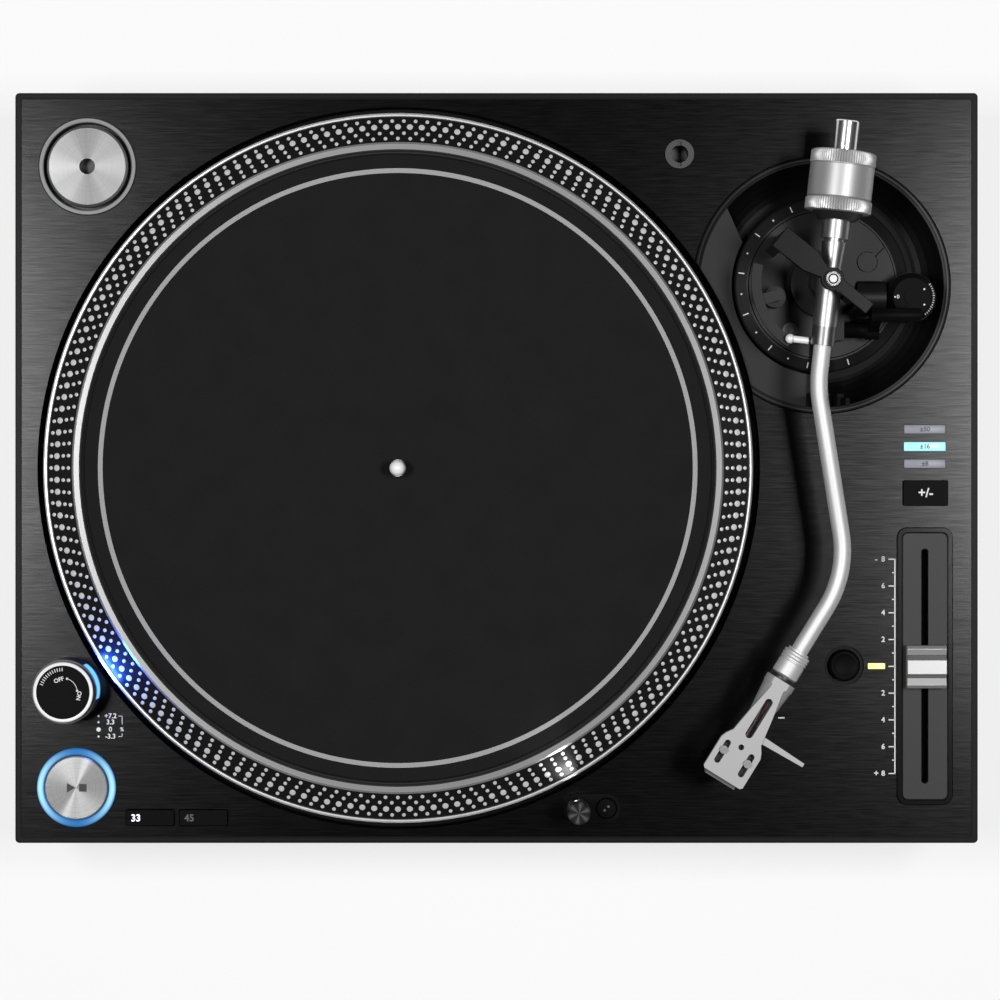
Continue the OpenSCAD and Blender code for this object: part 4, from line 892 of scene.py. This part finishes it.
lampShape = {"x": 201.5, "rows": {18.2: "unlit", 10.1: "lit", 2.0: "unlit"}, "size": (19.4, 4.1),
             "low": 98.5, "top": 100.2, "edge": 0.3, "zeroAt": (178.8, -93.2), "zeroSize": (7.9, 2.6),
             "labels": ["±50", "±16", "±8"], "labelSize": 3.0, "labelUp": 100.22}


def lampWindow(name, centre, size, material):
    s = lampShape
    bm = bmesh.new()
    box(bm, (*centre, (s["low"] + s["top"]) / 2), (*size, s["top"] - s["low"]))
    rounded(bm, bm.edges[:], s["edge"], 2)
    return built(name, bm, material, "chassis")


def lampWindows():
    s = lampShape
    for i, (y, state) in enumerate(s["rows"].items()):
        piece = lampWindow(f"rangeLamp{i + 1}", (s["x"], y), s["size"], finish[state])
        if i == 0:
            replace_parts(piece, "indicator_lamps")
    lampWindow("zeroLamp", s["zeroAt"], s["zeroSize"], finish["zero"])


lampWindows()

ledShape = {"height": 117, "turn": 15, "radius": 1.5, "base": 0.4, "tip": 5.3, "flange": 1.8,
            "flangeTop": 1.0, "domeSteps": 6}


def lampLed():  # the small domed diode in the lamp post's window
    s = ledShape
    r, base, wide, high = s["radius"], s["base"], s["flange"], s["flangeTop"]
    bend = s["tip"] - r
    angles = [quarter * i / s["domeSteps"] for i in range(s["domeSteps"])]
    dome = [(r * math.cos(a), bend + r * math.sin(a)) for a in angles]
    bm = turned([(0, base), (wide, base), (wide, high), (r, high)] + dome + [(0, s["tip"])], 24)
    outwards = Matrix.Rotation(math.radians(s["turn"]), 4, "Z") @ Matrix.Rotation(-quarter, 4, "X")
    move(bm, bm.verts, Matrix.Translation(lampAt + Vector((0, 0, s["height"])) * mm) @ outwards)
    built("lampLed", bm, finish["ledWhite"], "stylus_lamp")


lampLed()
print("lamps made")


# printed scales: numbers, ticks and signs only

inkThick = 0.04
inkLift = 0.03

scaleShape = {"x": 187.4, "zero": -93.3, "step": 12.6, "span": 8, "top": 100.0, "line": 0.55, "tick": 0.5,
              "longTick": 3.0, "shortTick": 1.3, "numberX": 181.9, "numberSize": 3.5, "signX": 178.6,
              "signSize": 4}
strobeKey = {  # the dots' speeds in percent, and a bracket
    "rows": [(-116.7, 0.5, "+7.2"), (-119.6, 0.5, "3.3"), (-123.0, 1.05, "0"), (-126.3, 0.5, "-3.3")],
    "dotX": -187.2, "numberX": -181.6, "numberSize": 3.2, "signAt": (-176.2, -123.0), "signSize": 2.5,
    "bars": [(-177.0, -116.7, 1.8, 0.25), (-177.0, -126.3, 1.8, 0.25), (-176.1, -118.6, 0.25, 4.0),
             (-176.1, -125.6, 0.25, 1.6)],
}
headDash = (134.0, -117.5, 3.1, 0.6)  # the short bar under the headshell


def panelPrint():
    bm = bmesh.new()
    s = scaleShape
    z = s["top"] + inkThick / 2
    box(bm, (s["x"], s["zero"], z), (s["line"], s["span"] * s["step"] + s["tick"], inkThick))
    for i in range(-s["span"], s["span"] + 1):
        whole = i % 2 == 0
        length = s["longTick"] if whole else s["shortTick"]
        y = s["zero"] + i * s["step"] / 2
        box(bm, (s["x"] - length / 2, y, z), (length, s["tick"], inkThick))
        if whole and i != 0:
            lettering(bm, str(abs(i)), s["numberSize"], (s["numberX"], y, z))
    for sign, side in (("-", 0.5), ("+", -0.5)):
        lettering(bm, sign, s["signSize"], (s["signX"], s["zero"] + side * s["span"] * s["step"], z))
    key = strobeKey
    for y, size, label in key["rows"]:
        disc(bm, (key["dotX"], y, z), size, inkThick)
        lettering(bm, label, key["numberSize"], (key["numberX"], y, z))
    lettering(bm, "%", key["signSize"], (*key["signAt"], z))
    for x, y, width, depth in [*key["bars"], headDash]:
        box(bm, (x, y, z), (width, depth, inkThick))
    built("panelPrint", bm, finish["print"], "chassis")


def polar(radius, angle, z):  # a place round an upright axis
    return (radius * math.cos(angle), radius * math.sin(angle), z)


knobMarks = {"z": 124.63, "ticks": 12, "tickFrom": 92, "tickStep": 6.2, "tickRadius": 10.6,
             "tick": (1.6, 0.35), "arcParts": 16, "arcFrom": 70, "arcStep": 4, "arcRadius": 6.6,
             "arc": (0.3, 0.52), "arcEnds": (73, 7), "endSize": 0.55, "labelSize": 2.7,
             "labels": {"OFF": ((-1.9, 5.7), 18), "ON": ((7.3, -1.6), -102)}}


def knobPrint():
    bm = bmesh.new()
    s = knobMarks
    for i in range(s["ticks"]):
        a = math.radians(s["tickFrom"] + i * s["tickStep"])
        box(bm, polar(s["tickRadius"], a, s["z"]), (*s["tick"], inkThick), Matrix.Rotation(a, 4, "Z"))
    for i in range(s["arcParts"]):
        a = math.radians(s["arcFrom"] - i * s["arcStep"])
        box(bm, polar(s["arcRadius"], a, s["z"]), (*s["arc"], inkThick), Matrix.Rotation(a, 4, "Z"))
    for angle in s["arcEnds"]:
        disc(bm, polar(s["arcRadius"], math.radians(angle), s["z"]), s["endSize"], inkThick)
    for label, (place, turn) in s["labels"].items():
        lettering(bm, label, s["labelSize"], (*place, s["z"]), math.radians(turn))
    move(bm, bm.verts, Matrix.Translation(knobAt))
    built("knobPrint", bm, finish["print"], "power_knob")


knobRim = {"inner": 12.3, "outer": 13.92, "flatTo": 13.4, "low": 124.2, "top": 125.04}


def knobTrim():
    s = knobRim
    near, far, low, top = s["inner"], s["outer"], s["low"], s["top"]
    bm = turned([
        (near, low), (near, top - 0.1), (near + 0.2, top), (s["flatTo"], top), (far, top - 0.45), (far, low),
        (near, low),
    ], 96)
    move(bm, bm.verts, Matrix.Translation(knobAt))
    built("knobTrim", bm, finish["bright"], "power_knob")


ringMarks = {"angles": [112, 142, 171.5, 201, 230.5, 260, 289], "inner": (35.5, 100.8), "outer": (40.2, 98.6),
             "tickRadius": 38.2, "tick": (3.0, 0.5), "dotRadius": 38.0, "dot": (0.8, 0.8), "dotTurn": 14.8}


def slopedTick(bm, angle, radius, size, marks):  # lies on the cone between the inner and outer circle
    (r0, z0), (r1, z1) = marks["inner"], marks["outer"]
    slope = math.atan2(z0 - z1, r1 - r0)
    a = math.radians(angle)
    z = z0 + (radius - r0) * (z1 - z0) / (r1 - r0) + inkLift
    turn = Matrix.Rotation(a, 4, "Z") @ Matrix.Rotation(slope, 4, "Y")
    box(bm, polar(radius, a, z), (*size, inkThick), turn)


def heightPrint():
    bm = bmesh.new()
    s = ringMarks
    for angle in s["angles"]:
        slopedTick(bm, angle, s["tickRadius"], s["tick"], s)
    for angle in s["angles"][:-1]:
        slopedTick(bm, angle + s["dotTurn"], s["dotRadius"], s["dot"], s)
    move(bm, bm.verts, Matrix.Translation(pivotAt))
    built("heightPrint", bm, finish["print"], "height_ring")


skateMarks = {"top": 117.3, "inner": (8.8, 117.3), "outer": (11.4, 114.5), "ticks": 15, "tickFrom": 35,
              "tickStep": 6.2, "tickRadius": 10.2, "longEvery": 5, "longTick": (1.7, 0.45),
              "shortTick": (1.2, 0.45), "numberAt": (-6.6, 0), "numberSize": 2.6,
              "dots": [(-8.0, 0), (5.6, 3.6), (5.6, -3.6)], "dotSize": 0.45}


def skatePrint():
    bm = bmesh.new()
    s = skateMarks
    for i in range(s["ticks"]):
        size = s["shortTick"] if i % s["longEvery"] else s["longTick"]
        slopedTick(bm, s["tickFrom"] - i * s["tickStep"], s["tickRadius"], size, s)
    lettering(bm, "0", s["numberSize"], (*s["numberAt"], s["top"] + inkLift))
    for place in s["dots"]:
        disc(bm, (*place, s["top"] + inkThick / 2), s["dotSize"], inkThick)
    move(bm, bm.verts, Matrix.Translation(skateAt))
    built("skatePrint", bm, finish["print"], "anti_skate")


buttonMarks = {"top": 101.62, "labels": {  # text, size, place, finish and body
    "print33": ("33", 4.6, (-169.5, -164.6), "litPrint", "button_33"),
    "print45": ("45", 4.6, (-144.4, -164.6), "faint", "button_45"),
    "printRange": ("+/-", 6.0, (201.7, -11.8), "print", "range_button"),
}}


def buttonPrints():
    for name, (text, size, place, look, body) in buttonMarks["labels"].items():
        bm = bmesh.new()
        lettering(bm, text, size, (*place, buttonMarks["top"]))
        built(name, bm, finish[look], body)


startMarks = {"top": 101.61, "playX": -3.0, "playSize": 2.6, "stopX": 3.2, "stopSize": 3.6}


def startPrint():
    bm = bmesh.new()
    s = startMarks
    disc(bm, (s["playX"], 0, s["top"]), s["playSize"], inkThick, 3, -quarter)
    box(bm, (s["stopX"], 0, s["top"]), (s["stopSize"], s["stopSize"], inkThick))
    move(bm, bm.verts, Matrix.Translation(startAt))
    built("printStart", bm, finish["ink"], "start_button")


lampButtonMarks = {"top": 102.02, "dots": [(12.5, -0.85), (14.3, 0.85)], "dotSize": 0.6}


def lampButtonPrint():
    bm = bmesh.new()
    s = lampButtonMarks
    for place in s["dots"]:
        disc(bm, (*place, s["top"]), s["dotSize"], inkThick)
    move(bm, bm.verts, Matrix.Translation(lampAt))
    built("printLampButton", bm, finish["faint"], "lamp_button")


def lampPrint():
    bm = bmesh.new()
    s = lampShape
    for y, label in zip(s["rows"], s["labels"]):
        lettering(bm, label, s["labelSize"], (s["x"], y, s["labelUp"]))
    built("printLamps", bm, finish["ink"], "chassis")


panelPrint()
knobPrint()
knobTrim()
heightPrint()
skatePrint()
buttonPrints()
startPrint()
lampButtonPrint()
lampPrint()
print("scales printed")


# floor, light and world

lights = {  # place, aim, length and width in metres, colour, power in watts
    "leftStrip": ((-0.6, 0.06, 1.6), (-0.1, 0.04, 0.1), (0.42, 0.24), (1, 1, 1), 14),
    "rightStrip": ((0.6, 0.06, 1.6), (0.1, 0.04, 0.1), (0.42, 0.24), (1, 1, 1), 14),
    "strobeGlow": ((-0.1855, -0.097, 0.112), (-0.16, -0.08, 0.113), (0.014, 0.008), (0.03, 0.12, 1), 0.07),
}


def placed(name, data, place, aim):
    lamp = bpy.data.objects.new(name, data)
    lamp.location = place
    lamp.rotation_euler = (Vector(aim) - Vector(place)).to_track_quat("-Z", "Y").to_euler()
    bpy.context.scene.collection.objects.link(lamp)


def areaLight(name, place, aim, size, colour, power):
    data = bpy.data.lights.new(name, "AREA")
    data.shape = "RECTANGLE"
    data.size, data.size_y = size
    data.color = colour
    data.energy = power
    placed(name, data, place, aim)


for name, values in lights.items():
    areaLight(name, *values)

beamLook = {"from": (0.0398, -0.1542, 0.117), "to": (0.027, -0.137, 0.1145), "power": 0.07, "cone": 50,
            "blend": 0.5, "source": 0.004}


def stylusBeam():  # the lamp post's own light on the mat
    data = bpy.data.lights.new("stylusBeam", "SPOT")
    data.energy = beamLook["power"]
    data.spot_size = math.radians(beamLook["cone"])
    data.spot_blend = beamLook["blend"]
    data.shadow_soft_size = beamLook["source"]
    placed("stylusBeam", data, beamLook["from"], beamLook["to"])


stylusBeam()

stageLook = {"half": 4, "shade": (0.93, 0.96), "glow": 0.72, "world": 0.05}


def makeFloor():
    bm = bmesh.new()
    bmesh.ops.create_grid(bm, x_segments=1, y_segments=1, size=stageLook["half"])
    mesh = bpy.data.meshes.new("floor")
    bm.to_mesh(mesh)
    bm.free()
    look = Look("paleFloor")
    cloud = look.grain(2, 2)
    look.set(Specular_IOR_Level=0.0)
    mesh.materials.append(look.set(Base_Color=look.mix(cloud, *stageLook["shade"]), Roughness=0.9))
    seen = look.node("ShaderNodeLightPath", {}, {}, "Is Camera Ray")
    glow = look.node("ShaderNodeEmission", {}, {"Color": (1, 1, 1, 1), "Strength": 1.0})
    plain = Sock(look, look.shader.outputs["BSDF"])
    both = look.node("ShaderNodeMixShader", {}, {0: seen * stageLook["glow"], 1: plain, 2: glow})
    look.feed(look.tree.nodes["Material Output"].inputs["Surface"], both)
    floor = bpy.data.objects.new("floor", mesh)
    bpy.context.scene.collection.objects.link(floor)


makeFloor()


def makeWorld():
    world = bpy.data.worlds.new("studio")
    world.use_nodes = True
    background = world.node_tree.nodes["Background"]
    background.inputs["Color"].default_value = (1, 1, 1, 1)
    background.inputs["Strength"].default_value = stageLook["world"]
    bpy.context.scene.world = world
    bpy.context.scene.view_settings.view_transform = "Standard"


makeWorld()
print("stage lit")

bpy.context.view_layer.update()
